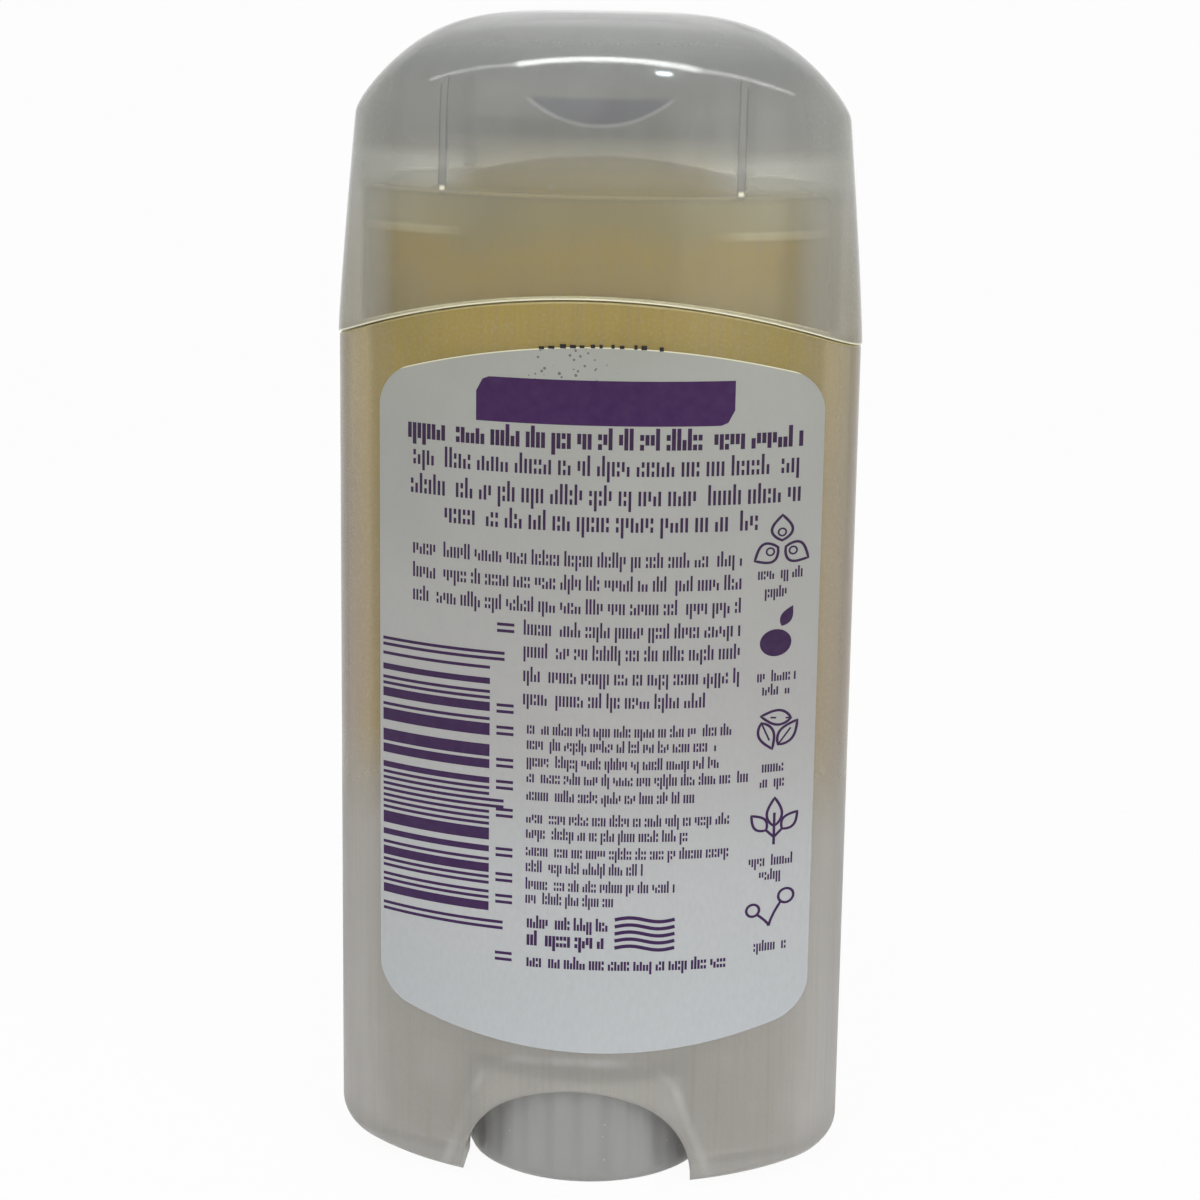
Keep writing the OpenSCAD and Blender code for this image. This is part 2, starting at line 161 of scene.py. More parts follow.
def skin(name, grid, sharp=32):
    """A closed surface over rings of points, shape (rings, points, 3): quads between
    neighbouring rings, and a fan from the middle of the first and of the last ring."""
    count, n = grid.shape[:2]
    here = np.arange(n)
    after = (here + 1) % n
    row = np.arange(count - 1)[:, None] * n
    quads = np.stack([row + here, row + after, row + n + after, row + n + here], -1).reshape(-1, 4)
    points = np.concatenate([grid.reshape(-1, 3), grid[[0, -1]].mean(1)])
    first, last, top = count * n, count * n + 1, (count - 1) * n
    low_fan = np.stack([np.full(n, first), after, here], -1)
    top_fan = np.stack([np.full(n, last), top + here, top + after], -1)
    return make(name, points, quads.tolist() + low_fan.tolist() + top_fan.tolist(), sharp)


def around(radius, angle, z):
    """Points at a radius and an angle round the Z axis, at
    height z. The three broadcast to (rings, points)."""
    return np.stack(np.broadcast_arrays(radius * np.cos(angle), radius * np.sin(angle), z), -1)


def turned(name, profile, n):
    """A solid turned round the Z axis from (radius, height) points that start and end on the axis."""
    profile = np.array(profile, float)
    return skin(name, around(profile[:, :1], np.arange(n) * 2 * math.pi / n, profile[:, 1:]))


def plug(name, radius, low, high, n=64):
    """A plain round plug on the Z axis."""
    return turned(name, [[0, low], [radius, low], [radius, high], [0, high]], n)


def box(name, low, high):
    """A plain block between two corners, for cutting and joining."""
    corner = np.array([[x, y, z] for z in (0, 1) for x, y in ((0, 0), (1, 0), (1, 1), (0, 1))])
    low, high = np.array(low, float), np.array(high, float)
    faces = [[3, 2, 1, 0], [4, 5, 6, 7], [0, 1, 5, 4], [1, 2, 6, 5], [2, 3, 7, 6], [3, 0, 4, 7]]
    return make(name, low + corner * (high - low), faces)


def combine(piece, others, operation="DIFFERENCE", sharp=32):
    """Cuts the other solids out of the piece, or joins them to it, and leaves one plain mesh."""
    for other in others:
        step = piece.modifiers.new(other.name, "BOOLEAN")
        step.object, step.operation, step.solver = other, operation, "MANIFOLD"
    bpy.context.view_layer.update()
    depsgraph = bpy.context.evaluated_depsgraph_get()
    mesh = bpy.data.meshes.new_from_object(piece.evaluated_get(depsgraph))
    piece.modifiers.clear()
    piece.data = mesh
    mesh.shade_smooth()
    mesh.set_sharp_from_angle(angle=math.radians(sharp))
    for other in others:
        bpy.data.objects.remove(other)
    return piece


# Barrel


def barrel_block():
    """The outside of the barrel: a quarter round whose radius grows towards the ends, an upright
    wall, an eased shoulder edge, the shoulder's step, a fillet, the neck and its rounded rim."""
    x = oval_x(0)
    r, turn = foot_round(x), quarter(14)
    ease, fillet, rim = 0.3, 0.3, 0.5
    small = quarter(6)
    edge_in = ease * (1 - np.cos(small))
    step_in = np.linspace(ease, NECK_STEP - fillet, 5)[:, None]
    fillet_in = NECK_STEP - fillet * (1 - np.sin(small))
    return skin("clear_barrel", np.concatenate([
        rings(r * (1 - np.sin(turn)), foot_at(x) + r * (1 - np.cos(turn))),
        rings(edge_in, shoulder_at(oval_x(edge_in)) - ease * (1 - np.sin(small))),
        rings(step_in, shoulder_at(oval_x(step_in))),
        rings(fillet_in, shoulder_at(oval_x(fillet_in)) + fillet * (1 - np.cos(small))),
        rings(NECK_STEP + rim * (1 - np.cos(small)), RIM_Z - rim * (1 - np.sin(small))),
    ]))


def bore_core():
    """What the bore takes away: an oval core that is rounded at its foot and opens over the rim."""
    low = FOOT_Z + BOTTOM_T
    small, ease = quarter(6), 0.25
    return skin("bore core", np.concatenate([
        rings(WALL_T + 1 - np.sin(small), low + 1 - np.cos(small)),
        rings(WALL_T - ease * (1 - np.cos(small)), RIM_Z - ease * (1 - np.sin(small))),
        rings(WALL_T - ease, np.array([[RIM_Z + 2]])),
    ]))


def pocket(name, grow, top):
    """The round pocket that the dial turns in, or the shell round it, with its upper edge rounded."""
    ease = np.linspace(0, math.pi / 2, 7)
    edge = np.stack([POCKET_TOP_R + grow - 1 + np.cos(ease), top - 1 + np.sin(ease)], -1)
    return turned(name, [[0, -1], [POCKET_LOW_R + grow, -1], [POCKET_LOW_R + grow, FOOT_Z],
                         *edge.tolist(), [0, top]], n=160)


def arch_outline(grow):
    """The three-centred arch, grown outwards, as (x, z) points: a
    side arc, the crown arc, a side arc and the open foot."""
    crown_cz = ARCH_Z - ARCH_CROWN_R
    side_x = ARCH_W / 2 - ARCH_SIDE_R
    side_z = crown_cz + math.sqrt((ARCH_CROWN_R - ARCH_SIDE_R) ** 2 - side_x**2)
    turn = math.atan2(side_x, side_z - crown_cz)
    side = np.linspace(0, math.pi / 2 - turn, 22)
    crown = np.linspace(math.pi / 2 - turn, math.pi / 2 + turn, 30)[1:-1]
    right = np.stack([side_x + (ARCH_SIDE_R + grow) * np.cos(side),
                      side_z + (ARCH_SIDE_R + grow) * np.sin(side)], -1)
    over = np.stack([(ARCH_CROWN_R + grow) * np.cos(crown),
                     crown_cz + (ARCH_CROWN_R + grow) * np.sin(crown)], -1)
    foot = np.array([[ARCH_W / 2 + grow, -3.0]])
    mirror = np.array([-1.0, 1.0])
    return np.concatenate([foot, right, over, right[::-1] * mirror, foot * mirror])


def arch_core():
    """What the thumb arches take away: the arch run through
    the pack, with mouths that flare by a quarter round."""
    ease = 0.5
    small = np.linspace(0, math.pi / 2, 7)
    layers = [(ease, None)] + [(ease * (1 - math.sin(a)), ease * (1 - math.cos(a))) for a in small]
    loops = []
    for grow, depth in layers:
        flat = arch_outline(grow)
        y = np.full(len(flat), -20.0) if depth is None else -broad_at(flat[:, 0]) + depth
        loops.append(np.stack([flat[:, 0], y, flat[:, 1]], -1))
    back = [loop * np.array([1, -1, 1]) for loop in loops[::-1]]
    return skin("arch core", np.array(loops + back))


def build_barrel():
    """The block less the bore outside the pocket's shell, the pocket, the arches and the bearing hole."""
    core = combine(bore_core(), [pocket("pocket shell", POCKET_WALL, FLOOR_TOP)])
    bearing = plug("bearing hole", JOURNAL_R + RUN_GAP, 5, 30)
    return combine(barrel_block(), [core, pocket("pocket", 0, DIAL_H + FREE_GAP), arch_core(), bearing])


# Cap


def lip_at(x):
    """Height of the cap's lip, which follows the shoulder."""
    return shoulder_at(x) + CAP_GAP


def cap_inset(z, x, inner):
    """How far the cap's outer or inner face lies inside the oval:
    the draft grows with a power of the height above the lip."""
    rise = np.maximum(0, z - lip_at(x)) / (CROWN_Z - lip_at(x))
    outer = -LIP_PROUD + CAP_DRAFT * rise**WALL_POWER
    return np.maximum(NECK_STEP - CAP_GAP, outer + CAP_T) if inner else outer


def fall_at(x):
    """Share of its height that the crown keeps at x: it falls
    with a power of the distance from the middle."""
    return 1 - CROWN_FALL * (np.abs(x) / HALF_W) ** FALL_POWER


def cap_face(inner):
    """One face of the cap from its lip to its top: the drafted wall, and a crown that rises with a power of
    the sine while its plan shrinks with a power of the cosine, and that falls towards its two ends."""
    x = oval_x(NECK_STEP - CAP_GAP if inner else -LIP_PROUD)
    share = np.linspace(0, 1, 22)[:-1, None]
    wall_z = lip_at(x) + (CROWN_Z - lip_at(x)) * share
    wall = rings(cap_inset(wall_z, x, inner), wall_z)
    low = np.radians(np.linspace(0, 62, 30))
    high = np.arccos(np.linspace(math.cos(low[-1]) ** CROWN_FULL, 0.06, 26)[1:] ** (1 / CROWN_FULL))
    a = np.concatenate([low, high])[:, None]
    rise = (CROWN_H - (CROWN_T if inner else 0)) * np.sin(a) ** RISE_POWER
    crown = rings(cap_inset(CROWN_Z + rise, x, inner), 0.0, np.cos(a) ** CROWN_FULL)
    crown[:, :, 2] = CROWN_Z + rise * fall_at(crown[:, :, 0])
    return np.concatenate([wall, crown])


def stop_rib(side, face):
    """A stop rib as a thin plate across the pack: its outer edge
    is sunk in the wall, and its foot stands over the rim."""
    low_z = RIM_Z + CAP_GAP
    sink = CAP_T / 2
    crown_rise = CROWN_H * fall_at(RIB_X)
    top = math.asin(((low_z + RIB_H - CROWN_Z) / crown_rise) ** (1 / RISE_POWER))
    wall_z = np.linspace(low_z, CROWN_Z, 6)[:-1]
    a = np.linspace(0, top, 10)
    s, rise = np.cos(a) ** CROWN_FULL, np.sin(a) ** RISE_POWER
    outer_y = np.concatenate([
        broad_at(RIB_X, cap_inset(wall_z, RIB_X, False) + sink),
        s * broad_at(RIB_X / s, cap_inset(CROWN_Z + CROWN_H * rise, RIB_X, False) + sink)])
    outer_z = np.concatenate([wall_z, CROWN_Z + crown_rise * rise])
    inner_y = broad_at(RIB_X, WALL_T + SLIDE_GAP - FREE_GAP)
    y = np.append(outer_y, [inner_y, inner_y]) * face
    z = np.append(outer_z, [low_z + RIB_H - RIB_SLOPE, low_z])
    plate = [np.stack([np.full(len(y), side * (RIB_X + t)), y, z], -1) for t in (-RIB_T / 2, RIB_T / 2)]
    return skin("rib", np.array(plate))


def build_cap():
    """The shell from the inner top down to the lip and up the outside, joined with its four stop ribs."""
    inner, outer = cap_face(True), cap_face(False)
    shell = skin("clear_cap", np.concatenate([inner[::-1], outer]))
    ribs = [stop_rib(side, face) for side in (-1, 1) for face in (-1, 1)]
    return combine(shell, ribs, "UNION")


# Gel, elevator and screw


def build_gel():
    """The gel: a foot inside the cup, a step out to the bore, the upright side, a soft edge and a
    dome that falls with the square of the distance, less the screw's and the nut's way."""
    in_cup, cup_top = CUP_GAP + CUP_T + POUR_GAP, PLATE_TOP + CUP_H
    s = np.linspace(1, 0.03, 34)[:, None]
    dome = rings(CUP_GAP, GEL_EDGE_Z + DOME_RISE * (1 - s**2), s)
    gel = skin("domed_gel", np.concatenate([
        rings(in_cup, np.array([[PLATE_TOP], [cup_top]])),
        rings(CUP_GAP, np.array([[cup_top], [80.0]])), dome]))
    nut_way, screw_way = NUT_R + POUR_GAP, THREAD_R + FREE_GAP
    way = turned("screw way", [[0, PLATE_TOP - 1], [nut_way, PLATE_TOP - 1], [nut_way, NUT_TOP + POUR_GAP],
                               [screw_way, NUT_TOP + POUR_GAP], [screw_way, SCREW_TOP + FREE_GAP],
                               [0, SCREW_TOP + FREE_GAP]], n=64)
    return combine(gel, [way, *key_ribs(POUR_GAP)])


def key_ribs(grow):
    """The four ribs in the cup that key the gel, as plain plates."""
    plates = []
    for across, reach in ((False, HALF_W), (True, HALF_D)):
        far = reach - CUP_GAP - CUP_T - 0.1 + grow
        for side in (-1, 1):
            low, high = sorted((side * (NUT_R - 0.5), side * far))
            a, b = [low, -0.6 - grow], [high, 0.6 + grow]
            if across:
                a, b = a[::-1], b[::-1]
            plates.append(box("key rib", [*a, PLATE_TOP - 0.5], [*b, PLATE_TOP + KEY_H + grow]))
    return plates


def build_elevator():
    """The oval cup with eased edges, the nut in its middle and the ribs that key the gel."""
    small, ease = quarter(5), 0.4
    cup = skin("elevator_cup", np.concatenate([
        rings(CUP_GAP + ease * (1 - np.sin(small)), PLATE_Z + ease * (1 - np.cos(small))),
        rings(CUP_GAP, np.array([[PLATE_TOP + CUP_H]])),
        rings(CUP_GAP + CUP_T, np.array([[PLATE_TOP + CUP_H], [PLATE_TOP]]))]))
    nut = plug("nut", NUT_R, NUT_LOW, NUT_TOP)
    way = plug("nut bore", THREAD_R + RUN_GAP, NUT_LOW - 1, NUT_TOP + 1)
    return combine(combine(cup, [nut, *key_ribs(0)], "UNION"), [way])


def build_dial():
    """The ribbed dial, whose radius dips at every flute, hollow
    below with a hub and ribs, joined with the feed screw."""
    angle = np.linspace(0, 2 * math.pi, FLUTE_COUNT * 16, endpoint=False)
    edge, edge_r = np.linspace(0, math.pi / 2, 6), 0.8
    top = np.stack([DIAL_R - edge_r + edge_r * np.cos(edge), DIAL_H - edge_r + edge_r * np.sin(edge)], -1)
    profile = np.array([[DIAL_R - 0.7, 0.0], [DIAL_R - 0.3, 0.25], [DIAL_R, 0.9], [DIAL_R, 1.4],
                        [DIAL_R, 2.0], [DIAL_R, DIAL_H - 1.4], *top])
    r, z = profile[:, :1], profile[:, 1:]
    part = (angle * FLUTE_COUNT / (2 * math.pi)) % 1 - 0.5
    across = part * 2 * math.pi * DIAL_R / FLUTE_COUNT
    dip = np.maximum(0, np.sqrt(np.maximum(0, FLUTE_R**2 - across**2)) - (FLUTE_R - FLUTE_DEPTH))
    r = r - dip * np.clip((z - 1.2) / 0.8, 0, 1)
    dial = skin("ribbed_dial", around(r, angle, z), sharp=40)
    under = plug("hollow", DIAL_R - DIAL_WALL, -1, DIAL_H - DIAL_WALL, 128)
    hub_low = 0.8
    hub = plug("hub", JOURNAL_R + DIAL_WALL, hub_low, DIAL_H)
    plates = []
    for k in range(DIAL_RIBS // 2):
        plate = box("plate", [-DIAL_R, -DIAL_WALL / 2, hub_low], [DIAL_R, DIAL_WALL / 2, DIAL_H])
        plate.data.transform(Matrix.Rotation(k * 2 * math.pi / DIAL_RIBS, 4, "Z"))
        plates.append(plate)
    under = combine(under, [hub, *plates])
    return combine(combine(dial, [under], sharp=40), [feed_screw()], "UNION", sharp=40)


def feed_screw():
    """The screw: its plain profile with a trapezoid ridge that climbs by the lead in each turn."""
    low = FLOOR_TOP + FREE_GAP
    plain = np.array([[JOURNAL_R, DIAL_H - 1], [JOURNAL_R, low], [SNAP_R, low + 0.01], [SNAP_R, low + 0.8],
                      [JOURNAL_R - 0.4, low + 2.4], [SCREW_ROOT_R, low + 3.4], [SCREW_ROOT_R, STOP_Z - 3],
                      [THREAD_R + 1, STOP_Z - 2], [THREAD_R + 1, STOP_Z], [SCREW_ROOT_R, STOP_Z + 0.01],
                      [SCREW_ROOT_R, SCREW_TOP - 1], [SCREW_ROOT_R - 1, SCREW_TOP]])
    z = np.unique(np.concatenate([plain[:, 1], np.arange(THREAD_Z, SCREW_TOP - 1.2, 0.2)]))[:, None]
    angle = np.arange(48) * 2 * math.pi / 48
    r = np.interp(z, plain[:, 1], plain[:, 0])
    foot, crest = LEAD * 0.24, LEAD * 0.13
    away = np.abs((z - THREAD_Z - foot - LEAD * angle / (2 * math.pi) + LEAD / 2) % LEAD - LEAD / 2)
    ridge = np.interp(away, [crest, foot], [THREAD_R, SCREW_ROOT_R - 0.4])
    threaded = (z > THREAD_Z) & (z < SCREW_TOP - 2.5)
    r = np.where(threaded, np.maximum(r, ridge), r)
    return skin("feed screw", around(r, angle, z), sharp=40)


# Label


def label_y(x, off):
    """The near face of the barrel's front, off millimetres out."""
    return BROAD_CY - np.sqrt((BROAD_R + POUR_GAP + off) ** 2 - x**2)


def label_edges(x):
    """Lower and upper edge of the label at x: two arcs, and quarter rounds at the corners."""
    sag = LABEL_ARCH_R - np.sqrt(LABEL_ARCH_R**2 - (x - LABEL_ARCH_X) ** 2)
    past = np.clip(np.abs(x - LABEL_X) - (LABEL_W / 2 - LABEL_CORNER_R), 0, LABEL_CORNER_R)
    corner = LABEL_CORNER_R - np.sqrt(LABEL_CORNER_R**2 - past**2)
    return LABEL_LOW + sag + corner, LABEL_HIGH - sag - corner


def build_label():
    """The label film: columns between its lower and upper edge, closer together
    near the sides, wrapped on the barrel, with a far and a near face."""
    half = LABEL_W / 2
    turn = np.linspace(-math.pi / 2, math.pi / 2, 97)
    x = LABEL_X + half * np.sin(turn) * 0.99999
    low, high = label_edges(x)
    share = np.linspace(0, 1, 41)[:, None]
    z = low + (high - low) * share
    x = np.broadcast_to(x, z.shape)
    layers = [np.stack([x, label_y(x, off), z], -1) for off in (0.0, LABEL_T)]
    rows, cols = z.shape
    index = np.arange(rows * cols).reshape(rows, cols)
    near = np.stack([index[:-1, :-1], index[:-1, 1:], index[1:, 1:], index[1:, :-1]], -1).reshape(-1, 4)
    rim = np.concatenate([index[0, :-1], index[:-1, -1], index[-1, :0:-1], index[:0:-1, 0]])
    nxt = np.roll(rim, -1)
    total = rows * cols
    side = np.stack([rim, nxt, nxt + total, rim + total], -1)
    faces = np.concatenate([near[:, ::-1], near + total, side]).tolist()
    return make("label_film", np.concatenate([layer.reshape(-1, 3) for layer in layers]), faces)


# Print: each mark is a flat piece of ink between four corners (x, z) on the label's face

BANNER, BANNER_R = (-12.2, 16.5, 90.4, 95.4), 1.7
LINE, FINE_LINE, INK_T = 0.3, 0.2, 0.015
SIGN_X, SIGN_POINTS = 22.0, 28


def bars(x0, x1, z0, z1):
    """Upright marks from x0 to x1 and z0 to z1, which may be arrays."""
    x0, x1, z0, z1 = np.broadcast_arrays(x0, x1, z0, z1)
    corners = [np.stack(corner, -1) for corner in ((x0, z0), (x1, z0), (x1, z1), (x0, z1))]
    return np.stack(corners, -2).reshape(-1, 4, 2).astype(float)


def field(x0, x1, low, high, columns):
    """A filled field between a lower and an upper edge, both
    functions of x, cut into columns that bend with the label."""
    x = np.linspace(x0, x1, columns + 1)
    edge = np.stack([np.stack([x, low(x)], -1), np.stack([x, high(x)], -1)])
    return np.stack([edge[0, :-1], edge[0, 1:], edge[1, 1:], edge[1, :-1]], 1)


def ribbon(path, width, closed=False):
    """A line of even width along flat points: each point is
    moved to both sides along the line's own normal."""
    path = np.asarray(path, float)
    if closed:
        way = np.roll(path, -1, 0) - np.roll(path, 1, 0)
    else:
        way = np.gradient(path, axis=0)
    way /= np.linalg.norm(way, axis=1, keepdims=True)
    out = np.stack([-way[:, 1], way[:, 0]], -1) * width / 2
    left, right = path + out, path - out
    if closed:
        left, right = (np.concatenate([side, side[:1]]) for side in (left, right))
    return np.stack([right[:-1], right[1:], left[1:], left[:-1]], 1)


def fan(path):
    """A filled closed outline: thin pieces between its middle and
    each of its edges, the first two corners on the middle."""
    path = np.asarray(path, float)
    middle = np.broadcast_to(path.mean(0), path.shape)
    return np.stack([middle, path, np.roll(path, -1, 0), middle], 1)


def ring(x, z, radius, flat=1.0):
    """The points of a round or an oval."""
    angle = np.arange(SIGN_POINTS) * 2 * math.pi / SIGN_POINTS
    return np.stack([x + radius * np.cos(angle), z + radius * flat * np.sin(angle)], -1)


def leaf(x, z, length, width, angle):
    """A leaf from its stalk at (x, z): its half width is a power of the
    sine along its length, blunt at the stalk and pointed at the tip."""
    t = np.linspace(0, 1, SIGN_POINTS // 2)
    half = width / 2 * np.sin(math.pi * t**0.8)
    along, side = np.concatenate([t, t[-2:0:-1]]) * length, np.concatenate([half, -half[-2:0:-1]])
    turn = math.radians(angle)
    return np.stack([x + along * math.cos(turn) - side * math.sin(turn),
                     z + along * math.sin(turn) + side * math.cos(turn)], -1)


def hatch(x0, x1, z, height, weight, seed):
    """A line of small upright dashes in groups: even, tall, dropping, stacked, low
    or high ones that never touch, chosen by a seeded draw. No mark is a letter."""
    draw = np.random.default_rng(seed)
    pitch, gap = height * 0.33, 1.1
    count = int((x1 - x0) / pitch)
    sizes = draw.integers(3, 9, size=count)
    ends = np.cumsum(sizes + gap)
    slot = np.arange(count)
    group = np.searchsorted(ends, slot, side="right")
    near = slot - np.where(group > 0, ends[np.maximum(group - 1, 0)], 0)
    slot = slot[(near < sizes[group]) & (near >= 0)]
    x = x0 + (slot + 0.5) * pitch
    kind = draw.choice(6, size=len(x), p=[0.40, 0.14, 0.07, 0.17, 0.13, 0.09])
    half, tall = weight / 2, height / 2
    marks = []
    for sort, low, high in ((0, -1.0, 1.0), (1, -1.0, 1.8), (2, -1.8, 1.0), (3, -1.0, -0.25), (3, 0.25, 1.0),
                            (4, -1.0, 0.35), (5, -0.35, 1.0)):
        at = x[kind == sort]
        marks.append(bars(at - half, at + half, z + low * tall, z + high * tall))
    return np.concatenate(marks)


def stripes(x0, x1, long_x1, low, high, seed):
    """A striped field: level bars whose widths and gaps are one to four
    steps by a seeded draw, the outer and the middle ones longer."""
    draw = np.random.default_rng(seed)
    steps = draw.choice([1, 2, 3, 4], size=59, p=[0.45, 0.25, 0.18, 0.12])
    steps[[0, 1, 2, 28, 29, 30, 56, 57, 58]] = 1
    edges = low + (high - low) * np.concatenate([[0], np.cumsum(steps)]) / steps.sum()
    z0, z1 = edges[:-1:2], edges[1::2]
    far = np.full(len(z0), x1)
    far[[0, 1, 14, 15, 28, 29]] = long_x1
    x = x0 + (far - x0) * np.linspace(0, 1, 13)[:, None]
    return bars(x[:-1].ravel(), x[1:].ravel(), np.tile(z0, 12), np.tile(z1, 12))


def banner_low(x):
    """The banner's lower edge: level, with a quarter round at the right."""
    past = np.clip(x - (BANNER[1] - BANNER_R), 0, BANNER_R)
    return BANNER[2] + BANNER_R - np.sqrt(BANNER_R**2 - past**2 * 0.9999)


def banner_high(x):
    """The banner's upper edge: level, with a quarter round at the left."""
    past = np.clip(BANNER[0] + BANNER_R - x, 0, BANNER_R)
    return BANNER[3] - BANNER_R + np.sqrt(BANNER_R**2 - past**2 * 0.9999)


def dashed_rows():
    """Every row of dashes: its left end, right end, middle height, and the dashes' height and weight."""
    rows = [(-20.4, 24.3, 88.6, 1.75, 0.44)]
    rows += [(x0, x1, z, 1.65, 0.3) for x0, x1, z in (
        (-19.8, 24.1, 85.6), (-20.1, 24.2, 82.3), (-16.0, 20.2, 79.3))]
    rows += [(x0, x1, z, 1.25, 0.23) for x0, x1, z in (
        (-19.8, 17.8, 75.1), (-19.8, 17.8, 72.4), (-19.8, 17.8, 69.7), (-6.6, 17.9, 67.0), (-6.6, 17.9, 64.4),
        (-6.6, 17.9, 61.6), (-6.6, 14.5, 58.9))]
    rows += [(-6.1, x1, z, 1.0, 0.2) for x1, z in (
        (17.3, 55.4), (15.5, 53.6), (15.7, 51.6), (19.1, 49.7), (13.1, 47.6), (17.8, 44.9), (12.5, 43.1),
        (17.1, 41.0), (7.5, 39.1), (11.3, 37.0), (4.3, 35.3))]
    rows += [(-5.9, 3.7, 32.4, 1.1, 0.26), (-5.9, 3.4, 30.4, 1.3, 0.34), (-5.9, 17.1, 27.7, 1.1, 0.26)]
    rows += [(x0, x1, z, 0.95, 0.19) for x0, x1, z in (
        (19.4, 24.5, 73.2), (20.2, 23.4, 71.1), (19.6, 24.3, 61.3), (20.2, 23.4, 59.7), (20.4, 23.2, 50.6),
        (20.2, 23.4, 48.8), (19.2, 24.5, 39.4), (20.4, 23.4, 37.7), (20.0, 24.0, 29.1))]
    return rows


def tally(x0, x1, places):
    """Pairs of level dashes, one pair at each place."""
    inner, outer = 0.2, 0.55
    return [bars(x0, x1, places - outer, places - inner), bars(x0, x1, places + inner, places + outer)]


def edge_dashes(at):
    """Stray dashes across the label's upper edge: their
    widths and heights vary with the sine of their place."""
    edge, half = label_edges(at)[1], 0.26 + 0.09 * np.cos(at * 5)
    return bars(at - half, at + half, edge - 0.1, edge + 0.3 + 0.1 * np.sin(at * 7))


def polar(x, z, radius, angle):
    """The point at a distance from (x, z), at an angle in radians."""
    return x + radius * math.cos(angle), z + radius * math.sin(angle)


def drop_ring(x, z):
    """Three drops round a point, each with a small ring in it."""
    marks = []
    for turn in (90, 210, 330):
        angle = math.radians(turn)
        marks += [ribbon(leaf(*polar(x, z, 0.5, angle), 2.9, 2.3, turn), LINE, True),
                  ribbon(ring(*polar(x, z, 1.45, angle), 0.42), FINE_LINE, True)]
    return marks


def fruit(x, z):
    """A filled drop over a filled round."""
    return [fan(ring(x, z, 1.75, 0.9)), fan(leaf(x + 0.6, z + 1.9, 2.6, 1.3, 62))]


def leaf_ring(x, z):
    """Three leaves that follow one another round a point, each with a short line across."""
    marks = []
    for turn in (90, 210, 330):
        angle = math.radians(turn)
        start = polar(x, z, 1.9, angle - 0.95)
        marks += [ribbon(leaf(*start, 3.4, 1.7, turn + 82), LINE, True),
                  ribbon([start, polar(x, z, 1.55, angle + 0.5)], FINE_LINE)]
    return marks


def sprig(x, z):
    """An upright stem with a leaf on top and one on a twig to each side."""
    marks = [ribbon([(x, z), (x, z + 3.8)], LINE), ribbon(leaf(x, z + 2.2, 3.4, 1.7, 90), LINE, True)]
    for side in (-1, 1):
        marks += [ribbon([(x, z + 0.9), (x + side, z + 1.9)], LINE),
                  ribbon(leaf(x + side * 0.9, z + 1.8, 2.5, 1.5, 90 - side * 42), LINE, True)]
    return marks


def sprout(x, z):
    """Two stems from one foot that lean out with a power of their height, each with a round leaf."""
    t = np.linspace(0, 1, 12)
    marks = []
    for side, tall, size in ((1, 2.9, 0.85), (-1, 1.5, 0.7225)):
        stem = np.stack([x + side * 1.35 * t**1.4, z + tall * t], -1)
        end_x, end_z = stem[-1]
        marks += [ribbon(stem, LINE), ribbon(ring(end_x + side * 0.5, end_z + 0.55, size), LINE, True)]
    return marks


def waves(x, z, width, pitch, count):
    """Level waves over one another: each rises and falls with the sine of the way along it."""
    t = np.linspace(0, 1, 16)
    wave = np.stack([x + width * t, z + 0.25 * np.sin(2 * math.pi * t)], -1)
    return [ribbon(wave + np.array([0, k * pitch]), 0.42) for k in range(count)]


def print_marks():
    """All the ink: the bare banner, dashed rows, the striped field with its tally, and small plain signs."""
    marks = [field(BANNER[0], BANNER[1], banner_low, banner_high, 40)]
    marks += [hatch(*row, seed) for seed, row in enumerate(dashed_rows())]
    marks.append(stripes(-23.5, -10.4, -8.7, 31.3, 64.2, 8))
    marks += tally(-9.6, -7.6, np.array([67.0, 57.6, 55.0, 51.2, 48.6, 45.3, 40.6, 37.6, 35.0, 28.1]))
    marks.append(edge_dashes(np.array([-4.8, -3.7, -2.4, -1.3, -0.3, 0.9, 1.8, 3.1, 4.1, 5.6, 6.5, 8.4])))
    marks += drop_ring(SIGN_X, 76.6) + fruit(SIGN_X - 0.4, 65.3) + leaf_ring(SIGN_X, 55.2)
    marks += sprig(SIGN_X, 41.4) + sprout(SIGN_X - 0.3, 31.6)
    marks += waves(4.3, 29.9, 6.8, 0.85, 5)
    return np.concatenate(marks)


def build_print():
    """The ink as one thin layer on the film: every mark's corners
    are wrapped on the label's face, turned to face out."""
    flat = print_marks()
    x, z = flat[..., 0], flat[..., 1]
    area = ((x - np.roll(x, 1, 1)) * (z + np.roll(z, 1, 1))).sum(1)
    flat = np.where((area > 0)[:, None, None], flat[:, ::-1], flat)
    x, z = flat[..., 0], flat[..., 1]
    points = np.stack([x, label_y(x, LABEL_T + INK_T), z], -1).reshape(-1, 3)
    faces = np.arange(len(points)).reshape(-1, 4)
    ink = make("label_print", points, faces.tolist(), closed=False)
    ink.data.shade_flat()
    work = bmesh.new()
    work.from_mesh(ink.data)
    bmesh.ops.remove_doubles(work, verts=work.verts, dist=1e-6)
    bmesh.ops.dissolve_degenerate(work, edges=work.edges, dist=1e-7)
    work.to_mesh(ink.data)
    work.free()
    layer = ink.modifiers.new("layer", "SOLIDIFY")
    layer.thickness, layer.offset = INK_T * MM, -1
    return ink


barrel = build_barrel()
cap = build_cap()
gel = build_gel()
elevator = build_elevator()
dial = build_dial()
label = build_label()
ink = build_print()


# Materials


